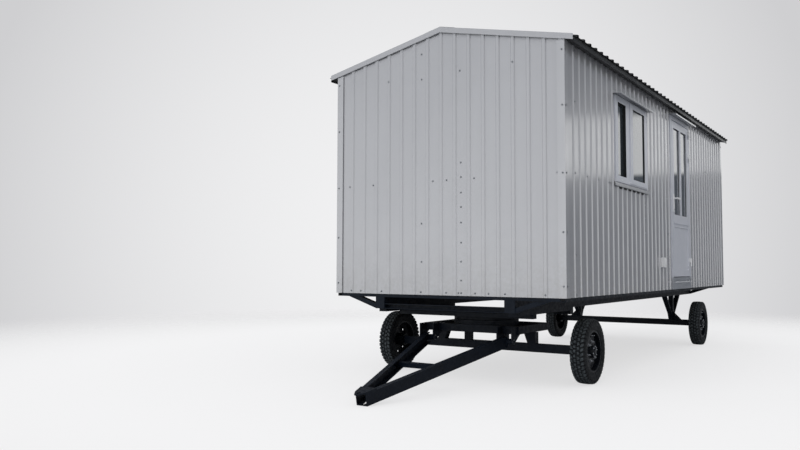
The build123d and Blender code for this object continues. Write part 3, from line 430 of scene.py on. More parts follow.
# Unplasticised PVC profile, extruded: smooth satin grey-white with the faintest mottle
def windowProfile(name, colour, shade, roughness):
    material, tree, where = startMaterial(name, {"Metallic": 0.0, "IOR": 1.53, "Coat Weight": 0.15,
                                                 "Coat Roughness": 0.15})
    mottle = speckle(tree, where, 7.0, 0.0, 0.5, detail=4.0)
    satin = speckle(tree, where, 25.0, roughness - 0.04, roughness + 0.06)
    drawn = speckle(tree, where, 180.0, 0.0, 1.0, stretch=(1, 1, 0.05))
    return finishMaterial(material, layColours(tree, colour, [(mottle, shade)]), satin, [(drawn, 0.00005)])


# Low-emission double glazing, float glass: it mirrors the surroundings at a slant and stays dark behind
def glazing(name, colour, smeared):
    material, tree, where = startMaterial(name, {"Metallic": 0.0, "IOR": 1.9, "Coat Weight": 1.0,
                                                 "Coat IOR": 1.7, "Coat Roughness": 0.01,
                                                 "Transmission Weight": 0.35})
    smear = speckle(tree, where, 5.0, 0.0, 0.6, stretch=(1, 1, 0.4), detail=5.0)
    haze = speckle(tree, where, 9.0, 0.015, 0.05)
    waves = speckle(tree, where, 1.6, 0.0, 1.0, detail=0.0, span=(0.0, 1.0))
    return finishMaterial(material, layColours(tree, colour, [(smear, smeared)]), haze, [(waves, 0.0006)])


# Vulcanised rubber: nearly black and matt, muddy in patches and scuffed to a dusty grey where the mesh's
# worn attribute is 1, which is where its blocks meet the road
def tyreRubber(name, colour, muddy, dusty, bloom):
    material, tree, where = startMaterial(name, {"Metallic": 0.0, "IOR": 1.52, "Specular IOR Level": 0.4})
    mud = speckle(tree, where, 28.0, 0.0, 0.5, detail=7.0, span=(0.42, 0.7))
    worn = addNode(tree, "ShaderNodeAttribute", attribute_name="worn").outputs["Fac"]
    scuffed = addNode(tree, "ShaderNodeMath", {0: worn, 1: speckle(tree, where, 45.0, 0.35, 1.0)},
                      operation="MULTIPLY").outputs[0]
    grain = speckle(tree, where, 160.0, 0.0, 0.3)
    base = layColours(tree, colour, [(mud, muddy), (scuffed, dusty), (grain, bloom)])
    pores = speckle(tree, where, 350.0, 0.0, 1.0, detail=4.0)
    return finishMaterial(material, base, speckle(tree, where, 40.0, 0.55, 0.8), [(pores, 0.0003)])


# Sawn sheet of strand board under varnish: pale and dark flakes a few centimetres long
def strandBoard(name, pale, dark, paintedShadeOverhangs=None):
    material, tree, where = startMaterial(name, {"Metallic": 0.0, "IOR": 1.5})
    stretched = addNode(tree, "ShaderNodeMapping", {"Vector": where, "Scale": (1.0, 2.6, 1.0)}).outputs[0]
    flakes = addNode(tree, "ShaderNodeTexVoronoi", {"Vector": stretched, "Scale": 26.0}).outputs["Color"]
    tone = addNode(tree, "ShaderNodeSeparateXYZ", {0: flakes}).outputs["X"]
    base = layColours(tree, pale, [(tone, dark)])
    if paintedShadeOverhangs:  # painted shade: the overhangs, from 0.1 m inside the walls' faces, are darkened, as the eaves' undersides lie in shade
        parts = addNode(tree, "ShaderNodeSeparateXYZ", {0: where}).outputs
        along = addNode(tree, "ShaderNodeMath", {0: parts["Y"], 1: middleY}, operation="SUBTRACT").outputs[0]
        for distance, edge in ((parts["X"], wallRight - 0.1), (along, (gableRear - gableFront) / 2 - 0.1)):
            size = addNode(tree, "ShaderNodeMath", {0: distance}, operation="ABSOLUTE").outputs[0]
            outside = addNode(tree, "ShaderNodeMath", {0: size, 1: edge}, operation="GREATER_THAN").outputs[0]
            base = layColours(tree, base, [(outside, paintedShadeOverhangs)])
    return finishMaterial(material, base, speckle(tree, where, 30.0, 0.45, 0.65), [(tone, 0.0005)])


# Laminated wall lining: white melamine film, with a joint between boards every 1.2 m along the room
def wallLining(name, colour, shade, gap):
    material, tree, where = startMaterial(name, {"Metallic": 0.0, "IOR": 1.5})
    along = addNode(tree, "ShaderNodeSeparateXYZ", {0: where}).outputs["Y"]
    boards = addNode(tree, "ShaderNodeMath", {0: along, 1: 1.2, 2: 0.0}, operation="WRAP")
    joint = addNode(tree, "ShaderNodeMapRange", {"Value": boards.outputs[0], "From Min": 0.004,
                                                 "From Max": 0.002, "To Max": 0.6}).outputs[0]
    base = layColours(tree, colour, [(speckle(tree, where, 3.0, 0.0, 0.4), shade), (joint, gap)])
    grain = speckle(tree, where, 120.0, 0.0, 1.0)
    return finishMaterial(material, base, speckle(tree, where, 18.0, 0.35, 0.5), [(grain, 0.0001)])


# Bare metal: rolled aluminium with a fine grain along its length, or a zinc coat when the grain is even
def bareMetal(name, colour, worn, stretch, roughness):
    material, tree, where = startMaterial(name, {"Metallic": 1.0})
    grain = speckle(tree, where, 60.0, 0.0, 0.5, stretch=stretch, detail=2.0)
    satin = speckle(tree, where, 40.0, roughness - 0.05, roughness + 0.08, stretch=stretch)
    return finishMaterial(material, layColours(tree, colour, [(grain, worn)]), satin, [(grain, 0.00003)])


# Black rubber extrusion of the glazing seals: dull, with a slight bloom
def sealRubber(name, colour, bloomed):
    material, tree, where = startMaterial(name, {"Metallic": 0.0, "IOR": 1.5})
    bloom = speckle(tree, where, 40.0, 0.0, 0.5, detail=4.0)
    dull = speckle(tree, where, 60.0, 0.5, 0.7)
    pores = speckle(tree, where, 300.0, 0.0, 1.0)
    return finishMaterial(material, layColours(tree, colour, [(bloom, bloomed)]), dull, [(pores, 0.00008)])


wallPaint = coatedSheet("metallicCoatedSheetGrey", "#B2B3B7", "#BABBBF", 0.22)
trimPaint = coatedSheet("metallicCoatedTrimGrey", "#B6B7BB", "#BEBFC2", 0.22)
# the flashings' undersides get a painted shade of dark grey
flashingPaint = coatedSheet("metallicCoatedFlashing", "#C2C3C6", "#CBCCCE", 0.22, paintedUnderShade="#3B3E43")
roofPaint = coatedSheet("coatedRoofSheetBlack", "#0E1113", "#16191B", 0.4, metal=0.0, gloss=0.2)
chassisPaint = chassisEnamel("brushedBlackEnamel", "#040C17", "#081320", 0.48)
wheelPaint = chassisEnamel("blackWheelEnamel", "#080B10", "#10151C", 0.3)
profilePlastic = windowProfile("extrudedPvcWhite", "#C8CBD4", "#BFC3CD", 0.33)
fittingPlastic = windowProfile("mouldedPlasticWhite", "#E2E3E5", "#D8D9DC", 0.38)
paneGlass = glazing("floatGlassDark", "#39434A", "#465058")
rubber = tyreRubber("vulcanisedTyreRubber", "#0A0E12", "#16191C", "#4C5357", "#0C0F12")
floorBoard = strandBoard("varnishedStrandBoard", "#B59A6C", "#8A6D45")
# the deck's overhangs get a painted shade, near black
deckBoard = strandBoard("rawStrandBoardShadedEdges", "#A48C66", "#7B6446", paintedShadeOverhangs="#17191B")
lining = wallLining("whiteMelamineLining", "#D9DAD8", "#CFD0CE", "#8E8F8E")
threshold = bareMetal("rolledAluminium", "#D2D4D8", "#C6C9CE", (1.0, 0.1, 1.0), 0.38)
zinc = bareMetal("zincPlatedSteel", "#8F9296", "#74777B", (1.0, 1.0, 1.0), 0.34)
brightZinc = bareMetal("newZincPlatedSteel", "#DADCDF", "#C5C8CC", (1.0, 1.0, 1.0), 0.26)
brightMetal = bareMetal("milledAluminium", "#EDEEF0", "#E2E4E7", (1.0, 0.1, 1.0), 0.3)
seal = sealRubber("glazingSealRubber", "#0E1013", "#1B1D20")

slotMaterials = {
    "chassis_paint": chassisPaint, "floor_board": floorBoard, "wall_panel": lining, "cladding_paint": wallPaint,
    "roof_deck": deckBoard, "roof_paint": roofPaint, "window_plastic": profilePlastic,
    "threshold_metal": threshold, "window_glass": paneGlass, "fitting_plastic": fittingPlastic,
    "tyre_rubber": rubber, "wheel_paint": wheelPaint,
}
finishes = {"corner_trims": trimPaint, "flashings": flashingPaint}
for part in frame["record"]["subparts"]:
    material = finishes.get(part["node"], slotMaterials[part["material_slot"]])
    mesh = frame["nodes"][part["node"]].data
    mesh.materials.clear()
    mesh.materials.append(material)


# Tyres: a block tread and ringed sidewalls in place of the plain tyres

tyreValues = {
    "pitches": 44,          # blocks round the tyre
    "samples": 10,          # grid steps to a block
    "edge": 0.055,          # half the tread's width
    "crown": 0.0035,        # how far the tread falls to its edge
    "shoulder": 0.014,      # how far below the tread's middle the sidewall ends
    "wallHeight": 0.088,
    "wallWidth": 0.059,     # half the tyre's width without its bulge
    "bulge": 0.0148,
    "ringHeight": 0.0008,   # of the fine rings on the sidewall's lower part
    "bead": 0.1856,         # radius where the tyre sits on its rim
    "beadHalf": 0.056,
    "grooveDepth": 0.010,
    "grooveWidth": 0.0085,
    "grooves": (0.0, 0.032),
    "zigzag": 0.0045,
    "crossGroove": 0.30,    # share of a block's pitch that is open
    "rowShifts": (0.0, 0.45, 0.05, 0.55),   # where each row's cross grooves lie, in pitches
    "slant": 7.0,           # pitches that a cross groove moves on over a metre of width
    "cutFrom": 0.034,       # depth below the tread's middle where the blocks' sides run out
    "wornTo": 0.012,        # and where their wear does
}


# Across the tyre the profile runs bead, sidewall, shoulder, tread and back. The sidewall bulges as
# width = wallWidth + bulge sin(pi (0.12 + 0.76 s)) and its radius grows by wallHeight s, with fine rings.
# The tread's radius falls by the crown times (width / edge) squared. Blocks are cut along the profile's
# normal where a zigzag groove, or a cross groove whose place changes from row to row, passes
def tyreShape(outer, values):
    edge, shoulder, grooves = values["edge"], values["shoulder"], values["grooves"]
    side = np.linspace(0, 1, 16)
    wallWidth = values["wallWidth"] + values["bulge"] * np.sin(pi * (0.12 + 0.76 * side))
    rings = values["ringHeight"] * np.maximum(0, np.sin(side * 9 * pi)) * (side < 0.7)
    wallRadius = outer - (shoulder + values["wallHeight"]) + values["wallHeight"] * side
    turnIn = np.linspace(0, 1, 7)[1:] * pi / 2
    shoulderWidth = wallWidth[-1] - (wallWidth[-1] - edge) * (1 - np.cos(turnIn))
    shoulderRadius = outer - shoulder + (shoulder - values["crown"]) * np.sin(turnIn)
    tread = np.linspace(edge, -edge, 45)[1:-1]
    treadRadius = outer - values["crown"] * (tread / edge) ** 2
    half = np.concatenate([[values["beadHalf"], values["beadHalf"] + 0.0005], wallWidth - rings, shoulderWidth])
    halfRadius = np.concatenate([[values["bead"], wallRadius[0] - 0.002], wallRadius, shoulderRadius])
    width = np.concatenate([half, tread, -half[::-1]])
    radius = np.concatenate([halfRadius, treadRadius, halfRadius[::-1]])
    normal = np.stack([np.gradient(radius), -np.gradient(width)], axis=-1)
    normal /= np.linalg.norm(normal, axis=1, keepdims=True)
    weight = np.clip((radius - (outer - values["cutFrom"])) / 0.008, 0, 1)
    steps = values["pitches"] * values["samples"]
    turn = np.arange(steps)[:, None] / values["samples"]

    def notch(distance, halfWidth):
        return np.clip((1.25 - distance / halfWidth) * 2.5, 0, 1)

    swing = values["zigzag"] * (4 * np.abs((turn % 1) - 0.5) - 1)
    cut = np.zeros((steps, len(width)))
    for centre in (-grooves[1], *grooves):
        cut = np.maximum(cut, notch(np.abs(width[None] - centre - swing), values["grooveWidth"] / 2))
    row = np.digitize(width, [-grooves[1], 0.0, grooves[1]])
    start = np.array(values["rowShifts"])[row] + values["slant"] * np.abs(width)
    away = np.abs(((turn + start[None]) % 1) - 0.5)
    cut = np.maximum(cut, notch(away, values["crossGroove"] / 2))
    depth = values["grooveDepth"] * cut * weight[None]
    across = width[None] - depth * normal[:, 0][None]
    reach = radius[None] - depth * normal[:, 1][None]
    angle = turn * 2 * pi / values["pitches"]
    points = np.stack([across, reach * np.cos(angle), reach * np.sin(angle)], axis=-1)
    worn = (1 - cut) * np.clip((radius[None] - (outer - values["wornTo"])) / 0.006, 0, 1)
    return points.reshape(-1, 3), [gridFaces(steps, len(width), True, True)[:, ::-1]], worn.ravel()


wheelNames = [f"{end}_{side}" for end in ("front", "rear") for side in ("left", "right")]
for name in wheelNames:
    low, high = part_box(f"tyre_{name}")
    centre = np.array((low + high) / 2)
    outward = 1 if name.endswith("right") else -1
    points, faces, worn = tyreShape((high.z - low.z) / 2 - 0.0002, tyreValues)
    shape = (points * np.array([outward, outward, 1]) + centre, faces)
    piece = makePiece(f"rubber_{name}", shape, rubber, f"wheel_{name}", sharpAngle=30,
                      attribute=("worn", worn))
    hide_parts(f"tyre_{name}")
print("tyres made, each with", len(piece.data.polygons), "faces")


# Wheel fittings: nuts on their studs, the hub's cap bolts and a valve

nutValues = {
    "count": 6,
    "turn": 0.3,            # radians round the hub to the first nut
    "circle": 0.088,
    "across": 0.0125,
    "height": 0.016,
    "studRadius": 0.0065,
    "studReach": 0.026,
    "discFace": 0.030,      # how far the wheel's disc lies outwards of the wheel's middle
    "capFace": 0.068,
    "capCircle": 0.046,
    "capAcross": 0.0055,
    "capHeight": 0.005,
    "valveCircle": 0.146,
    "valve": [(0, 0), (0.006, 0), (0.005, 0.02), (0.0042, 0.021), (0.0042, 0.034), (0.003, 0.036), (0, 0.036)],
}


# A nut is a profile turned in six segments, with a rounded shoulder, and its stud stands through it
def hexNut(across, height):
    return turned([(0, 0), (across * 1.25, 0), (across * 1.25, 0.002), (across, 0.003),
                   (across, height - 0.002), (across * 0.85, height), (0, height)], 6)


# The nuts stand on circles about the hub: y = radius cos angle, z = radius sin angle
def wheelFittings(centre, outward, values):
    radius, reach = values["studRadius"], values["studReach"]
    stud = turned([(0, 0), (radius, 0), (radius, reach - 0.002), (radius * 0.7, reach), (0, reach)], 10)
    angle = np.arange(values["count"]) * 2 * pi / values["count"] + values["turn"]

    def ring(face, radius):
        return np.stack([np.full(len(angle), centre[0] + outward * face), centre[1] + radius * np.cos(angle),
                         centre[2] + radius * np.sin(angle)], axis=-1)

    disc = ring(values["discFace"], values["circle"])
    cap = ring(values["capFace"], values["capCircle"])
    foot = [(centre[0] + outward * values["discFace"], centre[1], centre[2] + values["valveCircle"])]
    standing = ((hexNut(values["across"], values["height"]), disc), (stud, disc),
                (hexNut(values["capAcross"], values["capHeight"]), cap), (turned(values["valve"], 10), foot))
    return together([copiesOf(shape, places, (outward, 0, 0)) for shape, places in standing])


for name in wheelNames:
    low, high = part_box(f"tyre_{name}")
    outward = 1 if name.endswith("right") else -1
    makePiece(f"nuts_{name}", wheelFittings(np.array((low + high) / 2), outward, nutValues), brightZinc,
              f"wheel_{name}")
print("wheel fittings made")


# Screws that hold the sheets: a hexagonal head on a round washer

screwValues = {
    "washer": 0.0085,
    "head": 0.0055,
    "headHeight": 0.0055,
    "crestHalf": 0.011,     # how far from a rib's middle a head still sits on its crest
    "troughFrom": 0.034,    # and from where it lies flat in the trough
    "gableColumns": ((0.208, (0.839, 0.95, 1.12, 1.29, 1.47, 1.61, 1.74, 1.88, 2.012)),
                     (-0.21, (1.119, 1.473, 2.824, 3.063))),
    "gableRows": ((1.86, (-1.041, -0.764, -0.087, 0.059, 0.342, 1.13)), (2.85, (-0.581, 0.199, 0.73))),
    "gableFoot": (-1.033, -0.908, -0.661, -0.217, 0.053, 0.176, 0.349, 0.482, 0.639, 1.022),
    "corner": (0.913, 1.36, 1.853, 2.421, 2.89),
    "cornerIn": (0.022, 0.020),     # from the corner, on the gable and on the side
    "trimGauge": 0.002,
    "footUp": 0.024,
    "sideBatten": 1.872,
    "eaveDown": 0.05,
    "sideColumns": ((2, (1.181, 1.424, 2.487)), (16, (1.442, 1.598, 1.739, 2.3)), (36, (1.2, 1.6, 2.0, 2.4))),
    "clear": 0.06,          # room that screws leave round the openings
    "clearAbove": 0.08,
    "roofRows": (0.28, 0.72, 1.16),
    "pastRidge": 0.3,       # the roof sheets are clear of the ridge cap from here
}
screwShape = turned([(0, 0), (screwValues["washer"], 0), (screwValues["washer"], 0.0012),
                     (screwValues["head"], 0.0018), (screwValues["head"], screwValues["headHeight"]),
                     (0, screwValues["headHeight"] + 0.0006)], 8)


# Moves places along a sheet on to a rib's crest or clear of its flank, and gives how deep each lies
def seatOnSheet(along, values):
    rib = np.round(along / ribPitch) * ribPitch
    off = along - rib
    onCrest = np.abs(off) < (values["crestHalf"] + values["troughFrom"]) / 2
    inTrough = rib + np.sign(off) * np.maximum(np.abs(off), values["troughFrom"])
    return np.where(onCrest, rib, inTrough), np.where(onCrest, 0.0, troughDepth)


# Screws on a gable: the stitched lap, a few on the battens, a row along the foot and the two corners
def gableScrews(y, outward, values):
    spots = [(x, z) for x, heights in values["gableColumns"] for z in heights]
    spots += [(x, z) for z, row in values["gableRows"] for x in row]
    spots += [(x, wallFoot + values["footUp"]) for x in values["gableFoot"]]
    spots = np.array(spots)
    x, depth = seatOnSheet(spots[:, 0], values)
    places = np.column_stack([x, y - outward * depth, spots[:, 1]])
    corners = [(side * (wallRight - values["cornerIn"][0]), y + outward * values["trimGauge"], z)
               for side in (-1, 1) for z in values["corner"]]
    return np.vstack([places, corners])


# Screws on a long side, all on rib crests: rows along the foot, the middle batten and under the eave,
# the stitched laps and the corners, leaving out those that would fall in the door or the window
def sideScrews(side, values):
    rows = ((wallFoot + values["footUp"], 3), (values["sideBatten"], 2), (eaveHeight - values["eaveDown"], 3))
    spots = [(y, z) for z, step in rows for y in sideRibs[1:-1:step]]
    spots += [(sideRibs[rib - 1], z) for rib, heights in values["sideColumns"] for z in heights]
    spots = np.array(spots)
    taken = np.zeros(len(spots), bool)
    openings = [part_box("window_frames")] + ([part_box("door_jambs"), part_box("socket_box")] if side > 0 else [])
    clear = values["clear"]
    for low, high in openings:
        taken |= ((spots[:, 0] > low.y - clear) & (spots[:, 0] < high.y + clear)
                  & (spots[:, 1] > low.z - clear) & (spots[:, 1] < high.z + values["clearAbove"]))
    if side > 0:  # none above the door either
        taken |= (spots[:, 0] > openings[1][0].y - clear) & (spots[:, 0] < openings[1][1].y + clear)
    spots = spots[~taken]
    places = np.column_stack([np.full(len(spots), side * wallRight), spots])
    ends = (gableFront + values["cornerIn"][1], gableRear - values["cornerIn"][1])
    corners = [(side * (wallRight + values["trimGauge"]), y, z) for y in ends for z in values["corner"]]
    return np.vstack([places, corners])


# The points of a CAD node's mesh
def nodePoints(node):
    mesh = frame["nodes"][node].data
    points = np.zeros(len(mesh.vertices) * 3)
    mesh.vertices.foreach_get("co", points)
    return points.reshape(-1, 3)


# Screws on the roof: three rows to a slope on every other rib, whose crests are read from the sheets
def roofScrews(side, values):
    points = nodePoints("roof_sheets")
    points = points[points[:, 0] * side > values["pastRidge"]]
    rise = points[:, 2] + np.abs(points[:, 0]) * roofSlope
    top = rise.max()
    edges = np.unique(np.round(points[rise > top - 0.0005, 1], 4))
    crests = ((edges[0::2] + edges[1::2]) / 2)[::2]
    across, along = (grid.ravel() for grid in np.meshgrid(values["roofRows"], crests))
    return np.column_stack([side * across, along, top - across * roofSlope])


for name, places, direction, material in (
        ("screws_gable_front", gableScrews(gableFront, -1, screwValues), (0, -1, 0), zinc),
        ("screws_gable_rear", gableScrews(gableRear, 1, screwValues), (0, 1, 0), zinc),
        ("screws_side_right", sideScrews(1, screwValues), (1, 0, 0), zinc),
        ("screws_side_left", sideScrews(-1, screwValues), (-1, 0, 0), zinc),
        ("screws_roof_right", roofScrews(1, screwValues), (roofSlope, 0, 1), roofPaint),
        ("screws_roof_left", roofScrews(-1, screwValues), (-roofSlope, 0, 1), roofPaint)):
    makePiece(name, copiesOf(screwShape, places, direction), material, "cabin")
print("screws made")


# Glazing seals: a small closed section carried round each light, mitred at its corners

sealValues = {
    "onGlass": 0.008,
    "thick": 0.0028,
    "lip": 1.6,             # thicknesses from the glass to where the section steps back
    "inside": 0.008,
    "doorUp": 0.004,
    "sashFrom": 0.3,        # a window light that is wider than this is in the sash
    "sashProud": 0.016,     # how far the sash's face stands out from the wall, and the frame's
    "frameProud": 0.008,
    "below": 0.001,         # how far the outer seal stays under that face
}


# The section's points are (inwards from the light's edge, outwards from the glass); each is carried
# round the rectangle's four corners
def sealRing(low, high, glassFace, outward, up, values):
    thick, wide = values["thick"], values["onGlass"]
    section = np.array([(0, 0), (wide, 0), (wide, thick), (thick, thick * values["lip"]), (thick, up), (0, up)], float)
    inset, out = section[:, 0], section[:, 1]
    y = np.stack([low[0] + inset, high[0] - inset, high[0] - inset, low[0] + inset], axis=-1)
    z = np.stack([low[1] + inset, low[1] + inset, high[1] - inset, high[1] - inset], axis=-1)
    x = np.repeat((glassFace + outward * out)[:, None], 4, axis=1)
    points = np.stack([x, y, z], axis=-1).reshape(-1, 3)
    faces = gridFaces(len(section), 4, True, True)
    return points, [faces if outward > 0 else faces[:, ::-1]]


# The separate islands of a CAD node: boxes of its loose parts, found by joining vertices that share a place
def islandBoxes(node):
    places, index = np.unique(np.round(nodePoints(node), 5), axis=0, return_inverse=True)
    mesh = frame["nodes"][node].data
    edges = np.zeros(len(mesh.edges) * 2, int)
    mesh.edges.foreach_get("vertices", edges)
    first, second = index.ravel()[edges.reshape(-1, 2)].T
    label = np.arange(len(places))
    while True:
        lowest = np.minimum(label[first], label[second])
        updated = label.copy()
        np.minimum.at(updated, first, lowest)
        np.minimum.at(updated, second, lowest)
        if (updated == label).all():
            break
        label = updated
    return [(places[label == group].min(0), places[label == group].max(0)) for group in np.unique(label)]


# The outer seal of a window lines its whole recess, up to the face of the frame or of the proud sash
def windowSeals(values):
    shapes = []
    for low, high in islandBoxes("window_glass"):
        side = 1 if low[0] > 0 else -1
        outer, inner = (high[0], low[0]) if side > 0 else (low[0], high[0])
        proud = values["sashProud"] if high[1] - low[1] > values["sashFrom"] else values["frameProud"]
        recess = wallRight + proud - abs(outer)
        shapes.append(sealRing(low[1:], high[1:], outer, side, recess - values["below"], values))
        shapes.append(sealRing(low[1:], high[1:], inner, -side, values["inside"], values))
    return together(shapes)


# The door's panes have a seal on each face
def doorSeals(values):
    return together([sealRing(low[1:], high[1:], face, outward, values["doorUp"], values)
                     for low, high in islandBoxes("door_glass") for face, outward in ((high[0], 1), (low[0], -1))])


makePiece("seals_windows", windowSeals(sealValues), seal, "cabin")
makePiece("seals_door", doorSeals(sealValues), seal, "door")
print("seals made")


# Folded returns under the barge boards, from the board's back to the crests of the gable sheet

bargeValues = {
    "gap": 0.010,
    "gauge": 0.0015,
    "reach": 1.195,
    "clear": 0.0002,        # room that the strip leaves to the sheet
    "below": 0.0003,        # how far its top lies under the sheet's upper edge
}


# The strip's section, a flat sheet, is carried along the two slopes: z falls with |x| times the slope
def bargeReturn(y, outward, values):
    across = np.array([-1.0, -0.5, -0.001, 0.001, 0.5, 1.0]) * values["reach"]
    top = ridgeHeight - values["below"] - np.abs(across) * roofSlope
    near, far, gauge = values["clear"], values["gap"], values["gauge"]
    section = np.array([(near, 0), (far, 0), (far, -gauge), (near, -gauge)])
    points = np.stack([np.repeat(across[:, None], 4, axis=1),
                       np.broadcast_to(y + outward * section[:, 0], (len(across), 4)),
                       top[:, None] + section[:, 1]], axis=-1)
    last = 4 * (len(across) - 1)
    faces = gridFaces(len(across), 4, closedColumns=True)
    ends = np.array([[3, 2, 1, 0], [last, last + 1, last + 2, last + 3]])
    if outward > 0:
        faces, ends = faces[:, ::-1], ends[:, ::-1]
    return points.reshape(-1, 3), [faces, ends]


for word, y, outward in (("front", gableFront, -1), ("rear", gableRear, 1)):
    makePiece(f"barge_return_{word}", bargeReturn(y, outward, bargeValues), wallPaint, "cabin")
print("barge returns made")


# Small fittings: raised plates with rounded corners, screw heads, key cylinders and washers


# The plate's outline is half the width times sign(cos a)|cos a|^power, and half the height times the same
# of sin a: a smaller power gives tighter corners. It is drawn at four levels, each (inset, height)
def raisedPlate(width, height, proud, power=0.35, sides=32):
    angle = np.arange(sides) * 2 * pi / sides
    cosine, sine = np.cos(angle), np.sin(angle)
    levels = np.array([(0, 0), (0, proud * 0.7), (proud * 0.25, proud * 0.93), (proud * 0.7, proud)])
    across = (width / 2 - levels[:, :1]) * np.sign(cosine) * np.abs(cosine) ** power
    up = (height / 2 - levels[:, :1]) * np.sign(sine) * np.abs(sine) ** power
    rings = np.stack([across, up, np.repeat(levels[:, 1:], sides, axis=1)], axis=-1)
    return closeRings(rings, [0, 0, 0], [0, 0, proud])


# A small domed screw head, turned from its profile
def screwHead(radius):
    return turned([(0, 0), (radius, 0), (radius * 0.85, 0.0009), (radius * 0.45, 0.0014), (0, 0.0015)], 10)


# A flat ring with a bevelled rim: its section is carried round, x = radius cos angle, y = radius sin angle
def flatWasher(bore, outer, thick, bevel, sides):
    section = np.array([(outer, 0), (outer, thick - bevel), (outer - bevel, thick), (bore, thick), (bore, 0)])
    angle = np.arange(sides) * 2 * pi / sides
    rings = np.stack([section[:, :1] * np.cos(angle), section[:, :1] * np.sin(angle),
                      np.repeat(section[:, 1:], sides, axis=1)], axis=-1)
    return rings.reshape(-1, 3), [gridFaces(len(section), sides, True, True)]


# The lid of the socket box, with its four screws
lidValues = {"width": 0.066, "height": 0.074, "proud": 0.006, "up": 0.008, "screw": 0.0042, "screwAcross": 0.027,
             "screwHeights": (0.014, 0.102)}
boxLow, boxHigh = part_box("socket_box")
boxY = (boxLow.y + boxHigh.y) / 2
lidSpots = [(boxHigh.x, boxY + side * lidValues["screwAcross"], boxLow.z + up)
            for side in (-1, 1) for up in lidValues["screwHeights"]]
lid = copiesOf(raisedPlate(lidValues["width"], lidValues["height"], lidValues["proud"]),
               (boxHigh.x, boxY, (boxLow.z + boxHigh.z) / 2 + lidValues["up"]), (1, 0, 0))
lidScrews = copiesOf(screwHead(lidValues["screw"]), lidSpots, (1, 0, 0))
makePiece("socket_lid", together([lid, lidScrews]), fittingPlastic, "cabin")

# Drain caps along the foot of each window frame, and dark pads in the sheet's troughs under its sill,
# which stop short of the rib crests: a painted shade where the sill's lip leaves the troughs in shade
capValues = {"width": 0.034, "height": 0.011, "proud": 0.004, "in": 0.008, "up": 0.026,
             "shares": (0.17, 0.42, 0.70, 0.93)}
sillShadeValues = {"width": 0.085, "height": 0.016, "short": 0.001, "clear": 0.0003, "power": 0.2, "down": 0.052,
                 "fromEnd": 0.05}
frameLow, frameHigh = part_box("window_frames")
troughs = sideRibs[:-1] + ribPitch / 2
fromEnd = sillShadeValues["fromEnd"]
troughs = troughs[(troughs > frameLow.y + fromEnd) & (troughs < frameHigh.y - fromEnd)]
cap = raisedPlate(capValues["width"], capValues["height"], capValues["proud"])
# the black pads stand for the shade in the troughs under the sill: painted shade
sillShadePad = raisedPlate(sillShadeValues["width"], sillShadeValues["height"], troughDepth - sillShadeValues["short"],
                      sillShadeValues["power"])
capSpots = [(frameHigh.x - capValues["in"], frameLow.y + share * (frameHigh.y - frameLow.y),
             frameLow.z + capValues["up"]) for share in capValues["shares"]]
sillShadeSpots = [(wallRight - troughDepth + sillShadeValues["clear"], y, frameLow.z - sillShadeValues["down"])
                for y in troughs]
for name, shape, spots, material in (("drain_caps", cap, capSpots, fittingPlastic),
                                     ("sill_shade_pads", sillShadePad, sillShadeSpots, seal)):
    for word, side in (("right", 1), ("left", -1)):
        copies = copiesOf(shape, [(side * x, y, z) for x, y, z in spots], (side, 0, 0))
        makePiece(f"{name}_{word}", copies, material, "cabin")

# A bright strip along the threshold
nosingValues = {"width": 0.80, "height": 0.016, "proud": 0.010, "power": 0.12, "clear": 0.0002, "up": 0.085}
stepLow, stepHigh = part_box("door_threshold")
nosing = raisedPlate(nosingValues["width"], nosingValues["height"], nosingValues["proud"], nosingValues["power"])
nosingPlace = (stepHigh.x + nosingValues["clear"], (stepLow.y + stepHigh.y) / 2, stepLow.z + nosingValues["up"])
makePiece("threshold_nosing", copiesOf(nosing, nosingPlace, (1, 0, 0)), brightMetal, "cabin")

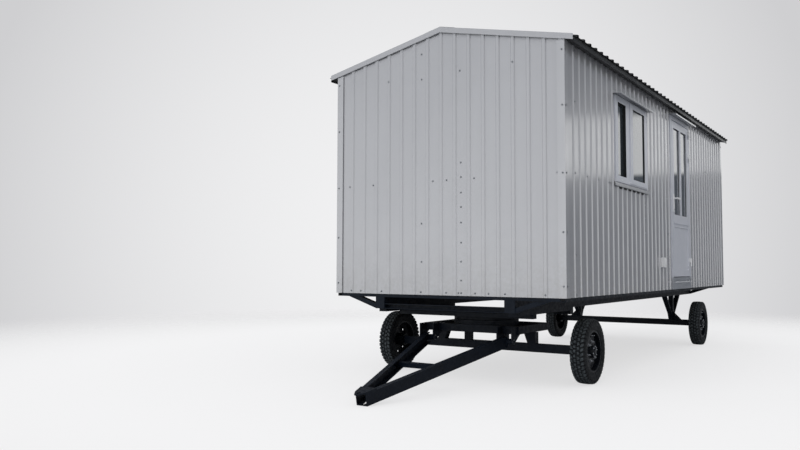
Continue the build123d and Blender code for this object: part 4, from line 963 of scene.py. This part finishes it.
# A key cylinder with a sunk face, and two screws, on each of the door's handle plates
keyValues = {"radius": 0.0085, "proud": 0.004, "well": 0.0035, "sunk": 0.0028, "in": 0.015, "up": 0.036,
             "screw": 0.0042, "screwIn": 0.012, "outerPlate": 0.016, "innerPlate": 0.008}
handleLow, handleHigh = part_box("door_handle")
keyY = handleLow.y + keyValues["in"]
cylinder = turned([(0, 0), (keyValues["radius"], 0), (keyValues["radius"], keyValues["proud"] - 0.001),
                   (keyValues["radius"] * 0.85, keyValues["proud"]), (keyValues["well"], keyValues["proud"]),
                   (keyValues["well"] - 0.0005, keyValues["sunk"]), (0, keyValues["sunk"])], 20)
keyParts = []
for face, outward in ((wallRight + keyValues["outerPlate"], 1),
                      (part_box("door_leaf")[0].x - keyValues["innerPlate"], -1)):
    heights = (handleLow.z + keyValues["screwIn"], handleHigh.z - keyValues["screwIn"])
    keyParts += [copiesOf(cylinder, (face, keyY, handleLow.z + keyValues["up"]), (outward, 0, 0)),
                 copiesOf(screwHead(keyValues["screw"]), [(face, keyY, z) for z in heights], (outward, 0, 0))]
makePiece("key_cylinders", together(keyParts), zinc, "door")

# Two screws in each hinge's leaf on the door and on the jamb
hingeValues = {"screw": 0.0042, "proud": 0.004, "heights": (1.139, 2.466, 2.766), "apart": (0.013, 0.037),
               "doorAt": 1.638, "jambAt": 1.684}
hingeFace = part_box("hinge_barrels")[0].x + hingeValues["proud"]
for name, y, body, way in (("hinge_screws_leaf", hingeValues["doorAt"], "door", 1),
                           ("hinge_screws_jamb", hingeValues["jambAt"], "cabin", -1)):
    places = [(hingeFace, y, z + way * apart) for z in hingeValues["heights"] for apart in hingeValues["apart"]]
    makePiece(name, copiesOf(screwHead(hingeValues["screw"]), places, (1, 0, 0)), zinc, body)

# Washers on both ends of the drawbar's two pins
washerValues = {"bore": 0.0155, "outer": 0.025, "thick": 0.003, "bevel": 0.0008, "sides": 28, "lugCentre": 0.42,
                "lugReach": 0.081, "clear": 0.0004, "eye": 0.030}
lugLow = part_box("drawbar_lugs")[0]
washer = flatWasher(*(washerValues[key] for key in ("bore", "outer", "thick", "bevel", "sides")))
lugEnds = [(side, way) for side in (-1, 1) for way in (-1, 1)]
reach = washerValues["lugReach"] + washerValues["clear"]
places = [(side * (washerValues["lugCentre"] + way * reach), lugLow.y + washerValues["eye"],
           lugLow.z + washerValues["eye"]) for side, way in lugEnds]
makePiece("pin_washers", copiesOf(washer, places, [(side * way, 0, 0) for side, way in lugEnds]), zinc, "drawbar")
print("small fittings made")
